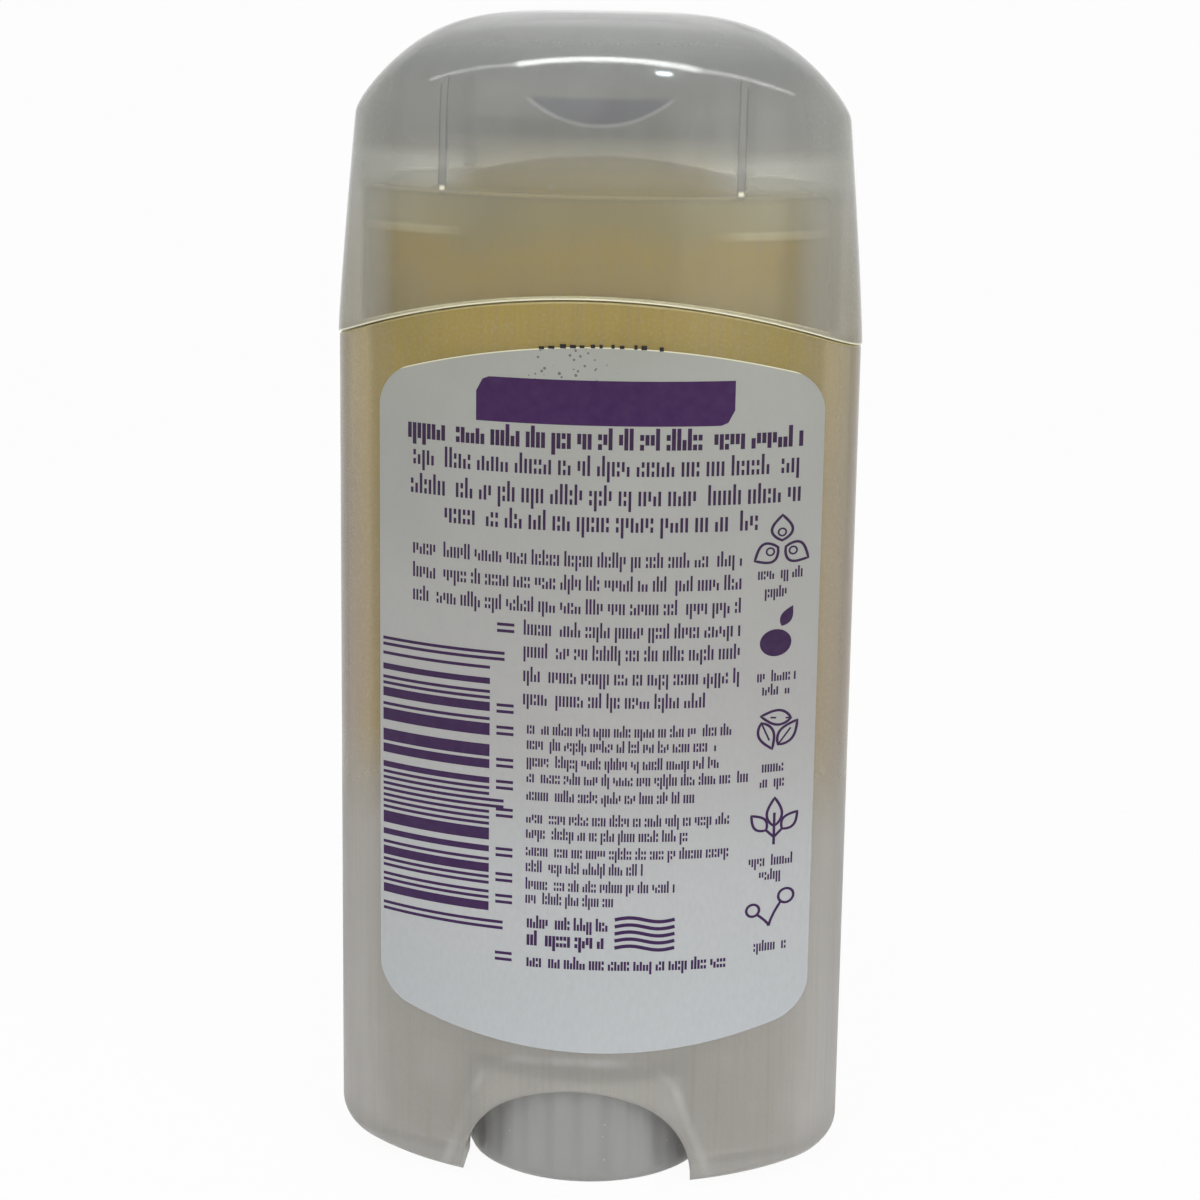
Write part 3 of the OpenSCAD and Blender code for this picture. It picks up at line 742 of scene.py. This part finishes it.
class Nodes:
    """The node tree of a material or of the world, with short ways to lay nodes in it."""

    def __init__(self, owner):
        owner.use_nodes = True
        self.tree = owner.node_tree

    def wire(self, kind, inputs, **settings):
        """A node with its settings, whose inputs take plain values or other nodes' outputs."""
        node = self.tree.nodes.new("ShaderNode" + kind)
        for key, value in settings.items():
            setattr(node, key, value)
        for key, value in inputs.items():
            if isinstance(value, bpy.types.NodeSocket):
                self.tree.links.new(value, node.inputs[key])
            else:
                node.inputs[key].default_value = value
        return node

    def maths(self, operation, *values, clamp=False):
        """A sum, product or other plain step of one to three values."""
        return self.wire("Math", dict(enumerate(values)), operation=operation, use_clamp=clamp).outputs[0]

    def product(self, first, *others):
        """Values multiplied with one another."""
        for other in others:
            first = self.maths("MULTIPLY", first, other)
        return first

    def line(self, value, gain, start):
        """A straight line: the value times gain, plus start."""
        return self.maths("MULTIPLY_ADD", value, gain, start)

    def part(self, pattern, gain, start):
        """A pattern as a share: a straight line held between 0 and 1."""
        return self.maths("MULTIPLY_ADD", pattern, gain, start, clamp=True)


class Finish(Nodes):
    """A Principled material and patterns that read the point
    on the piece, with their places in millimetres."""

    def __init__(self, name, colour, roughness, **sockets):
        """Plain values go on the shader's own sockets, and the colour is the first tone."""
        self.material = bpy.data.materials.new(name)
        self.tone = colour
        super().__init__(self.material)
        self.shader = self.tree.nodes["Principled BSDF"]
        self.shader.inputs["Base Color"].default_value = (*colour, 1)
        self.shader.inputs["Roughness"].default_value = roughness
        for socket, value in sockets.items():
            self.shader.inputs[socket.replace("_", " ")].default_value = value

    def point(self, stretch=(1, 1, 1)):
        """The point on the piece, stretched for a pattern that runs along an axis."""
        place = self.wire("TexCoord", {}).outputs["Object"]
        return self.wire("Mapping", {"Vector": place, "Scale": stretch}).outputs["Vector"]

    def axis(self, name):
        """One coordinate on the piece."""
        place = self.wire("TexCoord", {}).outputs["Object"]
        return self.wire("SeparateXYZ", {"Vector": place}).outputs[name]

    def off_middle(self):
        """Distance from the middle plane of the pack."""
        return self.maths("ABSOLUTE", self.axis("X"))

    def away_from(self, centre, stretch=(1, 1, 1)):
        """Distance from a point, or from a line through it along each axis whose stretch is 0."""
        ends = {0: self.point(stretch), 1: tuple(value * MM for value in centre)}
        return self.wire("VectorMath", ends, operation="DISTANCE").outputs["Value"]

    def noise(self, scale, detail=3, stretch=(1, 1, 1)):
        """Cloudy noise, scale features a metre."""
        inputs = {"Vector": self.point(stretch), "Scale": scale, "Detail": detail}
        return self.wire("TexNoise", inputs).outputs["Fac"]

    def cells(self, scale):
        """Distance to the nearest of scattered dots, scale dots a metre."""
        return self.wire("TexVoronoi", {"Vector": self.point(), "Scale": scale}).outputs["Distance"]

    def fade(self, value, near, far):
        """0 at near, 1 at far and even in between."""
        return self.wire("MapRange", {"Value": value, "From Min": near * MM, "From Max": far * MM}).outputs[0]

    def band(self, value, middle, half, soft):
        """1 within half of the middle, falling to 0 over soft."""
        away = self.maths("ABSOLUTE", self.maths("SUBTRACT", value, middle * MM))
        return self.fade(away, half + soft, half)

    def ramp(self, value, stops, low=0, high=PACK_H):
        """Linear colours, or greys given as one number, at places between low and high."""
        node = self.wire("ValToRGB", {"Fac": self.fade(value, low, high)})
        elements = node.color_ramp.elements
        while len(elements) < len(stops):
            elements.new(0.5)
        for element, stop in zip(elements, stops):
            element.position = (stop[0] - low) / (high - low)
        for element, stop in zip(elements, stops):
            element.color = (*np.broadcast_to(stop[1], 3), 1)
        return node.outputs["Color"]

    def tint(self, mask, colour, share=1.0):
        """Lays a colour over the tone, by mask times share."""
        mask = mask if share == 1.0 else self.product(mask, share)
        below, above = ((*tone, 1) if isinstance(tone, tuple) else tone for tone in (self.tone, colour))
        self.tone = self.wire("Mix", {0: mask, 6: below, 7: above}, data_type="RGBA").outputs[2]

    def cut(self, clear, mask, share):
        """How much light passes, less share of it where the mask is."""
        return self.product(clear, self.line(mask, -share, 1.0))

    def drive(self, roughness, height, bump, reach, clear=None):
        """Links the patterns to the shader: the tone, the roughness, a bump, and how much light passes."""
        bumps = self.wire("Bump", {"Height": height, "Strength": bump, "Distance": reach * MM})
        sockets = {"Base Color": self.tone, "Roughness": roughness, "Normal": bumps.outputs["Normal"]}
        if clear is not None:
            sockets["Transmission Weight"] = clear
        for socket, value in sockets.items():
            self.tree.links.new(value, self.shader.inputs[socket])
        return self.material


GEL_LINE = GEL_EDGE_Z + 0.4


def over_shoulder(look):
    """Height over the arched shoulder line: z less the circle of radius SHOULDER_R at x."""
    x = look.axis("X")
    arc = look.maths("SQRT", look.line(look.product(x, x), -1.0, (SHOULDER_R * MM) ** 2))
    level = look.maths("ADD", arc, (SHOULDER_Z + SHOULDER_RISE - SHOULDER_R) * MM)
    return look.maths("SUBTRACT", look.axis("Z"), level)


def pocket_trace(look):
    """The outline of the pocket's shell as it shows through the frosted wall: a line at an even
    distance outside a block, so that its corners are round, with sides that lean in as they rise."""
    block_half, block_top, lean = 11.9, 11.5, 0.36
    slant = look.line(look.axis("Z"), lean, -block_half * MM)
    side = look.maths("MAXIMUM", look.maths("ADD", look.off_middle(), slant), 0.0)
    over = look.maths("MAXIMUM", look.maths("SUBTRACT", look.axis("Z"), block_top * MM), 0.0)
    far = look.maths("SQRT", look.maths("ADD", look.product(side, side), look.product(over, over)))
    return look.band(far, 4.2, 0.2, 0.6)


def barrel_haze(look):
    """The barrel's first tone: the haze takes the gel's colour where the gel wets the bore,
    olive in the middle and beige at the sides, and is grey below. Its edge is wavy."""
    wavy = look.maths("ADD", look.axis("Z"), look.line(look.noise(60, 3, (1, 1, 0.3)), 12 * MM, -6 * MM))
    look.tone = look.ramp(wavy, [
        (0, (0.57, 0.55, 0.52)), (20, (0.57, 0.55, 0.51)), (41, (0.58, 0.55, 0.52)),
        (47, (0.56, 0.51, 0.42)), (54, (0.56, 0.44, 0.12)), (98, (0.58, 0.45, 0.10)),
        (103, (0.66, 0.51, 0.12)), (108.5, (0.72, 0.54, 0.05)), (111.5, (0.63, 0.53, 0.20)),
        (116, (0.58, 0.54, 0.38))])
    sides = look.ramp(wavy, [
        (0, (0.64, 0.62, 0.60)), (20, (0.64, 0.62, 0.60)), (41, (0.58, 0.56, 0.52)),
        (47, (0.50, 0.45, 0.37)), (54, (0.49, 0.40, 0.34)), (80, (0.47, 0.39, 0.31)),
        (110, (0.59, 0.50, 0.26)), (116, (0.62, 0.59, 0.49))])
    look.tint(look.fade(look.off_middle(), 22, 28.5), sides)


def clear_barrel_finish():
    """Hazy clear moulding with flow streaks, wear lines and grain, the pocket's
    trace and faint scuffs low down, a pocket wall whitened as painted light on the shaded
    dial, painted highlights along the shoulder edge and the rim, and the pale edge of the gel in the neck."""
    look = Finish("hazy clear barrel", (0.42, 0.36, 0.2), 0.3, IOR=1.49, Specular_IOR_Level=0.3)
    height = look.axis("Z")
    streaks = look.noise(700, 3, (1, 1, 0.03))
    clouds = look.noise(110, 4)
    patches = look.noise(190, 5, (1, 1, 0.6))

    barrel_haze(look)
    look.tint(look.part(streaks, 0.26, -0.08), (0.58, 0.56, 0.50))
    look.tint(look.part(look.noise(2400, 2, (1, 1, 0.02)), 0.9, -0.42), (0.42, 0.37, 0.26))
    look.tint(look.part(look.noise(3000, 2), 0.7, -0.32), (0.72, 0.70, 0.62))
    right = look.product(look.fade(look.axis("X"), 24.5, 28.5), look.band(height, 75, 22, 8))
    look.tint(right, (0.42, 0.38, 0.22), 0.3)

    low = look.fade(height, 17.5, 16)
    trace = look.product(pocket_trace(look), look.part(patches, 2.6, -0.98))
    look.tint(look.product(trace, low), (0.88, 0.87, 0.84))
    look.tint(look.product(look.part(patches, 1.6, -0.8), low), (0.80, 0.79, 0.76), 0.6)
    look.tint(look.fade(height, 3.2, 2.6), (0.80, 0.79, 0.77), 0.25)

    # Painted highlights: pale bands along the eased shoulder edge and the neck rim, where those edges catch
    # the light (the mask step); less light passes there too.
    shoulder_rim_highlights = look.band(over_shoulder(look), 0.05, 0.1, 0.1), look.band(height, RIM_Z, 0.1, 0.3)
    step = look.maths("MAXIMUM", *shoulder_rim_highlights)
    look.tint(step, (0.70, 0.62, 0.36))
    left = look.product(look.fade(look.axis("X"), -19, -26), look.fade(height, 101, 108))
    look.tint(left, (0.80, 0.68, 0.40), 0.15)
    bare = look.product(look.fade(height, GEL_LINE, GEL_LINE + 0.5), look.fade(look.off_middle(), 11, 20))
    look.tint(bare, (0.80, 0.79, 0.72), 0.6)
    pale = look.product(look.band(height, GEL_LINE, 0.3, 0.3), look.fade(look.off_middle(), 13, 17))
    look.tint(pale, (0.82, 0.81, 0.76), 0.45)
    # Painted light: the pocket's walls are whitened so that they throw more light on the shaded sides of the
    # dial.
    off_axis = look.away_from((0, 0, 0), (1, 1, 0))
    pocket_bounce_light = look.product(look.maths("LESS_THAN", off_axis, (POCKET_LOW_R + 0.2) * MM),
                             look.maths("LESS_THAN", height, (FLOOR_TOP - 0.3) * MM))
    look.tint(pocket_bounce_light, (0.92, 0.92, 0.90))

    frost = look.ramp(height, [(0.0, 0.42), (41.0, 0.40), (49.0, 0.25), (116.0, 0.2)])
    rough = look.maths("ADD", frost, look.line(clouds, 0.16, -0.08))
    clear = look.ramp(height, [(0.0, 0.6), (41.0, 0.58), (51.0, 0.6), (116.0, 0.65)])
    for mask, share in ((step, 0.85), (pale, 0.25), (pocket_bounce_light, 0.5)):
        clear = look.cut(clear, mask, share)
    return look.drive(rough, look.maths("ADD", streaks, clouds), 0.25, 0.12, clear)


def near_face(look):
    """1 on the cap's outer skin, 0 on what lies inside: a slanted plane
    between them, whose depth falls by the draft as it rises."""
    draft, depth_at_ground = 0.1415, 27.4
    out = look.line(look.axis("Z"), draft, look.maths("ABSOLUTE", look.axis("Y")))
    return look.maths("GREATER_THAN", out, depth_at_ground * MM)


def crescent(look):
    """The plain crescent on the near side of the crown, as
    its fill and its lower rim: a round, cut off level."""
    radius, centre, level = 12.4, (1.0, 0.0, 135.3), 125.8
    far = look.away_from(centre, (1, 0, 1))
    here = look.product(look.maths("LESS_THAN", look.axis("Y"), 0.0), near_face(look),
                        look.fade(look.axis("Z"), level + 0.2, level - 0.2))
    fill, rim = look.fade(far, radius, radius - 0.3), look.band(far, radius, 0.1, 0.2)
    return look.product(fill, here), look.product(rim, here)


def clear_cap_finish():
    """Clear glossy moulding: clearest round the neck, a grey haze over the rim and in the crown, paler
    beside the gel's dome, hazier ends, a painted highlight along the lip, the white feet of its ribs, and
    painted shade lines along the ribs."""
    look = Finish("clear cap", (0.5, 0.5, 0.48), 0.08, IOR=1.49, Specular_IOR_Level=0.42)
    height = look.axis("Z")
    side = look.off_middle()
    streaks = look.noise(500, 3, (1, 1, 0.08))
    clouds = look.noise(90, 3)
    ends = look.fade(side, 22, 29)

    look.tone = look.ramp(height, [
        (98.0, (0.92, 0.90, 0.77)), (114.3, (0.92, 0.90, 0.77)), (116.0, (0.66, 0.63, 0.50)),
        (119.0, (0.58, 0.565, 0.48)), (122.0, (0.35, 0.35, 0.33)), (126.5, (0.43, 0.435, 0.415)),
        (129.5, (0.45, 0.46, 0.45)), (134.0, (0.64, 0.65, 0.64))], 90)
    pale = look.product(look.fade(side, 7, 19), look.band(height, 122.5, 3, 3))
    look.tint(pale, (0.50, 0.50, 0.475), 0.7)
    flank = look.product(look.fade(side, 12, 16), look.band(height, 117.5, 1.2, 1.5))
    look.tint(flank, (0.66, 0.665, 0.61), 0.8)
    end_tone = look.ramp(height, [(104.0, (0.37, 0.34, 0.255)), (118.0, (0.43, 0.43, 0.385))], 90)
    look.tint(ends, end_tone)
    look.tint(look.part(streaks, 0.4, -0.15), (0.62, 0.62, 0.62))
    look.tint(look.part(look.noise(3000, 2), 0.7, -0.32), (0.70, 0.70, 0.67))

    # Painted shade: each rib shows through the near wall as two dark lines (sink) with a paler line between
    # them (core), painted so that they show whatever the refraction does.
    rib = look.product(look.band(height, RIM_Z + CAP_GAP + RIB_H / 2, RIB_H / 2 - 0.4, 1.2), near_face(look))
    sink = look.product(look.band(side, RIB_X, 0.42, 0.12), rib)
    core = look.product(look.band(side, RIB_X, 0.26, 0.12), rib)
    look.tint(sink, (0.14, 0.145, 0.14), 0.6)
    look.tint(core, (0.42, 0.43, 0.41), 0.85)
    fill, rim = crescent(look)
    look.tint(fill, (0.27, 0.27, 0.32), 0.5)
    look.tint(rim, (0.72, 0.72, 0.72), 0.4)
    # Painted highlight: a bright line along the lip, where its edge catches the light, joined (bright) with
    # the pale spots at the ribs' feet; less light passes there.
    spot = look.product(look.band(side, RIB_X, 0.2, 0.2), look.band(height, RIM_Z + 0.4, 0.1, 0.3))
    bright = look.maths("MAXIMUM", spot, look.band(over_shoulder(look), CAP_GAP + 0.05, 0.05, 0.12))
    look.tint(bright, (0.80, 0.76, 0.56))

    clear = look.ramp(height, [(98.0, 0.985), (114.5, 0.97), (116.5, 0.84), (121.0, 0.74), (134.0, 0.66)], 90)
    for mask, share in ((ends, 0.5), (flank, 0.15), (sink, 0.2), (bright, 0.9)):
        clear = look.cut(clear, mask, share)
    return look.drive(look.line(clouds, 0.06, 0.07), look.maths("ADD", streaks, clouds), 0.05, 0.1, clear)


def film_finish():
    """White film that takes a little of what lies under it: greener over the gel and bluer below, partly its
    own tint and partly painted light from below that lightens its bottom, with a fine grain, stray ink specks
    near its top and a painted highlight along its upper arch's edge."""
    look = Finish("label film", (0.36, 0.36, 0.34), 0.42)
    # Partly the film's own tint over the gel and the empty barrel, partly painted light: lighter and bluer
    # towards the bottom, where light from below falls.
    look.tone = look.ramp(look.axis("Z"), [
        (17.0, (0.47, 0.50, 0.52)), (38.0, (0.43, 0.44, 0.45)), (55.0, (0.34, 0.335, 0.33)),
        (80.0, (0.29, 0.29, 0.27)), (99.0, (0.265, 0.275, 0.235))])
    grain = look.noise(2200, 2, (1, 1, 0.5))
    clouds = look.noise(60, 3)
    look.tint(clouds, (0.50, 0.50, 0.49), 0.35)
    look.tint(look.part(grain, 0.3, -0.08), (0.27, 0.27, 0.25))
    close = look.fade(look.away_from((-2.5, -16, 97.2)), 7.5, 0)
    specks = look.maths("LESS_THAN", look.cells(1300.0), look.product(close, 0.3))
    look.tint(specks, (0.05, 0.05, 0.05), 0.75)
    # Painted highlight: a thin pale line along the upper arch, where the film's cut edge catches the light.
    arch = look.away_from((LABEL_ARCH_X, 0.0, LABEL_HIGH - LABEL_ARCH_R), (1, 0, 1))
    look.tint(look.band(arch, LABEL_ARCH_R - 0.04, 0.05, 0.06), (0.74, 0.71, 0.50), 0.85)
    return look.drive(look.line(clouds, 0.15, 0.35), grain, 0.3, 0.02)


def ink_finish():
    """Purple ink: brighter in the banner, near black in the dashes at the upper edge, a little uneven."""
    look = Finish("purple ink", (0.06, 0.04, 0.085), 0.45, Specular_IOR_Level=0.2)
    look.tone = look.ramp(look.axis("Z"), [
        (25.0, (0.040, 0.012, 0.070)), (89.8, (0.030, 0.012, 0.042)), (90.1, (0.040, 0.010, 0.066)),
        (97.6, (0.036, 0.010, 0.060)), (98.0, (0.014, 0.013, 0.010))])
    clouds = look.noise(900, 4)
    look.tint(look.part(clouds, 0.12, -0.04), (0.22, 0.19, 0.26))
    return look.drive(look.line(clouds, 0.2, 0.25), clouds, 0.2, 0.01)


def gel_finish():
    """Pale gel: olive yellow in its deep middle, beige towards its sides
    and its domed top, mottled, with small bubbles and a moist sheen."""
    look = Finish("pale yellow gel", (0.5, 0.4, 0.14), 0.3, IOR=1.4, Coat_Weight=0.15, Coat_Roughness=0.15)
    height = look.axis("Z")
    look.tone = look.ramp(height, [
        (43.0, (0.52, 0.40, 0.12)), (92.0, (0.56, 0.43, 0.10)), (104.0, (0.62, 0.50, 0.16)),
        (111.0, (0.66, 0.53, 0.17)), (118.0, (0.74, 0.58, 0.21))], 40, 120)
    flank = look.ramp(height, [
        (43.0, (0.50, 0.43, 0.28)), (108.0, (0.52, 0.45, 0.30)), (113.0, (0.80, 0.75, 0.58))], 40, 120)
    look.tint(look.fade(look.off_middle(), 14, 26.5), flank)
    clouds = look.noise(70, 5)
    look.tint(look.part(clouds, 0.5, -0.12), (0.62, 0.55, 0.30))
    bubbles = look.cells(260.0)
    look.tint(look.maths("LESS_THAN", bubbles, 0.13), (0.72, 0.68, 0.52), 0.5)
    return look.drive(look.line(clouds, 0.2, 0.2), look.maths("ADD", clouds, bubbles), 0.3, 0.3)


def moulded_finish(name, tone, edge, marks, reach, full=None):
    """Satin moulded plastic that lets light in by reach: upright draw marks, soft clouds, pale
    dust and scuffed edges. A full cup takes its filling's colour towards its upper edge."""
    look = Finish(name, tone, 0.4, Subsurface_Weight=0.7, Subsurface_Radius=(1, 1, 1),
                  Subsurface_Scale=reach * MM, Sheen_Weight=0.6, Sheen_Roughness=0.4)
    draw_marks = look.noise(marks, 3, (1, 1, 0.06))
    clouds = look.noise(140, 4)
    look.tint(look.part(draw_marks, 0.7, -0.2), edge)
    if full:
        look.tint(look.fade(look.axis("Z"), PLATE_TOP, PLATE_TOP + CUP_H), full)
    look.tint(look.maths("LESS_THAN", look.cells(420.0), 0.06), (0.7, 0.7, 0.68), 0.5)
    edges = look.wire("NewGeometry", {}).outputs["Pointiness"]
    worn = look.wire("MapRange", {"Value": edges, "From Min": 0.52, "From Max": 0.60, "To Max": 0.5})
    look.tint(worn.outputs[0], edge)
    return look.drive(look.line(clouds, 0.25, 0.3), look.maths("ADD", draw_marks, clouds), 0.2, 0.08)


elevator_finish = moulded_finish(
    "hazy elevator", (0.42, 0.42, 0.38), (0.55, 0.55, 0.52), 500, 10, full=(0.50, 0.42, 0.18))
dial_finish = moulded_finish("hazy dial", (0.385, 0.385, 0.375), (0.46, 0.465, 0.46), 450, 20)

PIECES = [
    (barrel, "container", "barrel", "clear_barrel", clear_barrel_finish()),
    (label, "container", "back_label", "label_film", film_finish()),
    (cap, "cap", "cap", "clear_cap", clear_cap_finish()),
    (gel, "carriage", "gel_stick", "gel", gel_finish()),
    (elevator, "carriage", "elevator", "elevator_plastic", elevator_finish),
    (dial, "dial", "dial_screw", "dial_plastic", dial_finish),
]
for piece, body, node, slot, material in PIECES:
    piece.data.materials.clear()
    piece.data.materials.append(material)
    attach(piece, body)
    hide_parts(node)
ink.data.materials.append(ink_finish())
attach(ink, "container")


# Stage, lamps and camera


def seen_white(nodes, shader, share):
    """Shows white in place of the shader, by share, to rays from
    the camera, mirrored rays and rays through clear pieces."""
    sight = nodes.wire("LightPath", {})
    seen = nodes.maths("ADD", sight.outputs["Is Camera Ray"], sight.outputs["Is Glossy Ray"])
    seen = nodes.maths("ADD", seen, sight.outputs["Is Transmission Ray"], clamp=True)
    kind = "Emission" if shader.name.startswith("Principled") else "Background"
    white = nodes.wire(kind, {"Color": (1, 1, 1, 1)})
    inputs = {0: nodes.product(seen, share), 1: shader.outputs[0], 2: white.outputs[0]}
    choice = nodes.wire("MixShader", inputs)
    end = next(node for node in nodes.tree.nodes if node.type.startswith("OUTPUT"))
    nodes.tree.links.new(choice.outputs[0], end.inputs["Surface"])


floor = Finish("pale floor", (0.9, 0.9, 0.9), 0.7)
seen_white(floor, floor.shader, 0.95)

world = bpy.data.worlds.new("studio")
studio = Nodes(world)
sky = studio.tree.nodes["Background"]
sky.inputs["Color"].default_value = (1, 1, 1, 1)
sky.inputs["Strength"].default_value = 0.6
seen_white(studio, sky, 1.0)
bpy.context.scene.world = world

SWEEP_W, SWEEP_BACK, SWEEP_R, SWEEP_H = 2600, 900, 400, 1500
bend = quarter(16)[:, 0]
sweep_y = np.concatenate([[-1200], SWEEP_BACK - SWEEP_R + SWEEP_R * np.sin(bend), [SWEEP_BACK]])
sweep_z = np.concatenate([[0], SWEEP_R * (1 - np.cos(bend)), [SWEEP_H]])
sides = np.array([-SWEEP_W / 2, SWEEP_W / 2])
sweep_points = np.stack([np.tile(sides, len(sweep_y)), np.repeat(sweep_y, 2), np.repeat(sweep_z, 2)], -1)
step = np.arange(len(sweep_y) - 1)[:, None] * 2
sweep = make("sweep", sweep_points, (step + np.array([0, 1, 3, 2])).tolist(), closed=False)
sweep.data.materials.append(floor.material)


def area(name, place, aim, size, power, along=None):
    """A soft lamp at place that points at aim, in millimetres, its long side level or along a way."""
    lamp = bpy.data.lights.new(name, "AREA")
    lamp.shape, lamp.size, lamp.size_y, lamp.energy = "RECTANGLE", size[0] * MM, size[1] * MM, power
    holder = bpy.data.objects.new(name, lamp)
    bpy.context.collection.objects.link(holder)
    way = np.array(aim, float) - np.array(place, float)
    far = way / np.linalg.norm(way)
    right = np.cross(far, [0, 0, 1]) if along is None else along - np.dot(along, far) * far
    right /= np.linalg.norm(right)
    up = np.cross(right, far)
    turn = np.stack([right, up, -far], 1)
    holder.matrix_world = Matrix.Translation(np.array(place) * MM) @ Matrix(turn.tolist()).to_4x4()
    return holder


key = area("key lamp", (-210, -450, 400), (0, 0, 70), (420, 300), 0.80)
fill = area("fill lamp", (330, -390, 200), (0, 0, 50), (360, 360), 0.89)
# The two soft lamps aren't mirrored, and the strip, which draws the bright arc on the crown, only is
key.visible_glossy = fill.visible_glossy = False
# Three strips in a bent row over the crown, each from one way to the next, as (x, y) at a height of one
CROWN_AT, STRIP_UP, STRIP_W, STRIP_W_PER_M = (0, -11, 130), 400, 34, 2.2
bends = np.array([(-1.28, -0.36), (-0.6, -0.62), (0.55, -0.61), (1.2, -0.34)])
for start, stop, share in zip(bends[:-1], bends[1:], (0.4, 1.0, 0.5)):
    ends = np.array([[*start, 1.0], [*stop, 1.0]]) * STRIP_UP + np.array(CROWN_AT)
    span = np.linalg.norm(ends[1] - ends[0])
    power = STRIP_W_PER_M * share**2 * span * MM
    strip = area("strip lamp", ends.mean(0), CROWN_AT, (span, STRIP_W * share), power, ends[1] - ends[0])
    strip.visible_diffuse = strip.visible_transmission = False
glint = area("glint lamp", (122, -296, 474), (7.6, -11.6, 128.7), (30, 12), 0.12, np.array([1.0, 0.0, 0.25]))
glint.data.color = (0.8, 0.93, 1.0)
glint.visible_diffuse = glint.visible_transmission = False

# The camera as fitted to the photograph: its place, angles in degrees and focal length in frame pixels
CAMERA_AT = np.array([32.46, -337.08, 144.08])
PITCH, ROLL, YAW_OFF, FOCAL_PX, FRAME_PX, SENSOR = 12.81, 0.84, 0.094, 2964.0, 1200, 36.0
yaw = math.atan2(-CAMERA_AT[0], -CAMERA_AT[1]) + math.radians(YAW_OFF)
pitch, roll = math.radians(PITCH), math.radians(ROLL)
ahead = np.array([math.sin(yaw) * math.cos(pitch), math.cos(yaw) * math.cos(pitch), -math.sin(pitch)])
level = np.array([math.cos(yaw), -math.sin(yaw), 0])
rise = np.cross(level, ahead)
across = level * math.cos(roll) + rise * math.sin(roll)
upright = rise * math.cos(roll) - level * math.sin(roll)
lens = bpy.data.cameras.new("camera")
lens.sensor_width, lens.lens = SENSOR, FOCAL_PX * SENSOR / FRAME_PX
lens.clip_start, lens.clip_end = 0.01, 10
camera = bpy.data.objects.new("camera", lens)
bpy.context.collection.objects.link(camera)
facing = Matrix(np.stack([across, upright, -ahead], 1).tolist())
camera.matrix_world = Matrix.Translation(CAMERA_AT * MM) @ facing.to_4x4()
bpy.context.scene.camera = camera
bpy.context.scene.view_settings.view_transform = "Standard"
